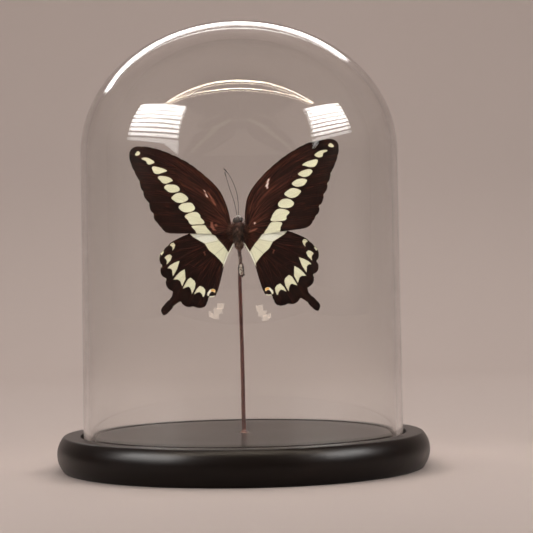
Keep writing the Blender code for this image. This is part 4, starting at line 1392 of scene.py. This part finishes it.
        # Two bent lines overhead, which meet at their ends: x and y of their corners
        for name, corners, width, watts in (
                ("upper_line", ((-1.10, -0.60), (-0.28, -0.49), (0.32, -0.49), (1.24, -0.60)), 0.030, 3.0),
                ("lower_line", ((-1.10, -0.61), (-0.28, -0.68), (0.32, -0.68), (1.24, -0.61)), 0.018, 2.0)):
            for part, (start, end) in enumerate(zip(corners, corners[1:])):
                ends = (*start, LINES_HEIGHT), (*end, LINES_HEIGHT)
                self.lamp(f"{name}_{part + 1}", ends, width, watts, warm, "mirrored")
        # Two distant windows low in front: x, height and width of the strips that each is made of
        for name, strips in (
                ("left_window", ((-0.500, 0.046, 0.17), (-0.436, 0.053, 0.18), (-0.384, 0.059, 0.14),
                                 (-0.607, 0.048, 0.06))),
                ("right_window", ((0.485, 0.043, 0.15), (0.425, 0.049, 0.17), (0.366, 0.056, 0.14),
                                  (0.582, 0.045, 0.06)))):
            for part, (x, z, wide) in enumerate(strips):
                ends = (x - wide / 2.0, WINDOWS_DISTANCE, z), (x + wide / 2.0, WINDOWS_DISTANCE, z)
                self.lamp(f"{name}_{part + 1}", ends, 0.007, 0.13 * wide, warm, "glint")

        data = bpy.data.cameras.new("camera")
        data.lens, data.sensor_width = CAMERA_LENS, 36.0
        camera = bpy.data.objects.new("camera", data)
        camera.location = CAMERA_PLACE
        camera.rotation_euler = (math.pi / 2, CAMERA_ROLL, 0.0)
        context.scene.collection.objects.link(camera)
        context.scene.camera = camera
        context.scene.view_settings.view_transform = "Standard"
        return {"FINISHED"}


STEPS = (DOME_OT_stage, DOME_OT_base, DOME_OT_glass, DOME_OT_stem, DOME_OT_wings, DOME_OT_body,
         DOME_OT_feelers, DOME_OT_legs)
GROUPS = {
    "base_settings": BaseSettings,
    "glass_settings": GlassSettings,
    "wing_settings": WingSettings,
    "body_settings": BodySettings,
    "stem_settings": StemSettings,
    "stage_settings": StageSettings,
}


class DOME_PT_pieces(bpy.types.Panel):
    """Lists the settings and the steps in the 3D view's sidebar"""

    bl_idname = "DOME_PT_pieces"
    bl_label = "Butterfly dome"
    bl_space_type = "VIEW_3D"
    bl_region_type = "UI"
    bl_category = "Dome"

    def draw(self, context):
        """One box of settings for each group, then one button for each step."""
        for key, group in GROUPS.items():
            box = self.layout.box()
            box.label(text=key.replace("_", " ").capitalize())
            for name in group.__annotations__:
                box.prop(getattr(context.scene, key), name)
        for step in STEPS:
            self.layout.operator(step.bl_idname)


def register():
    """Registers the groups, the steps and the panel."""
    for group in GROUPS.values():
        bpy.utils.register_class(group)
    for step in STEPS:
        bpy.utils.register_class(step)
    bpy.utils.register_class(DOME_PT_pieces)
    for key, group in GROUPS.items():
        setattr(bpy.types.Scene, key, PointerProperty(type=group))


def unregister():
    """Takes everything away again, in the opposite order."""
    for key in reversed(GROUPS):
        delattr(bpy.types.Scene, key)
    for made in (DOME_PT_pieces, *reversed(STEPS), *reversed(GROUPS.values())):
        bpy.utils.unregister_class(made)


def main():
    """Builds every piece in order."""
    register()
    bpy.ops.dome.stage()
    bpy.ops.dome.base()
    bpy.ops.dome.glass()
    bpy.ops.dome.stem()
    bpy.ops.dome.wings()
    bpy.ops.dome.body()
    bpy.ops.dome.feelers()
    bpy.ops.dome.legs()


if __name__ == "__main__":
    main()
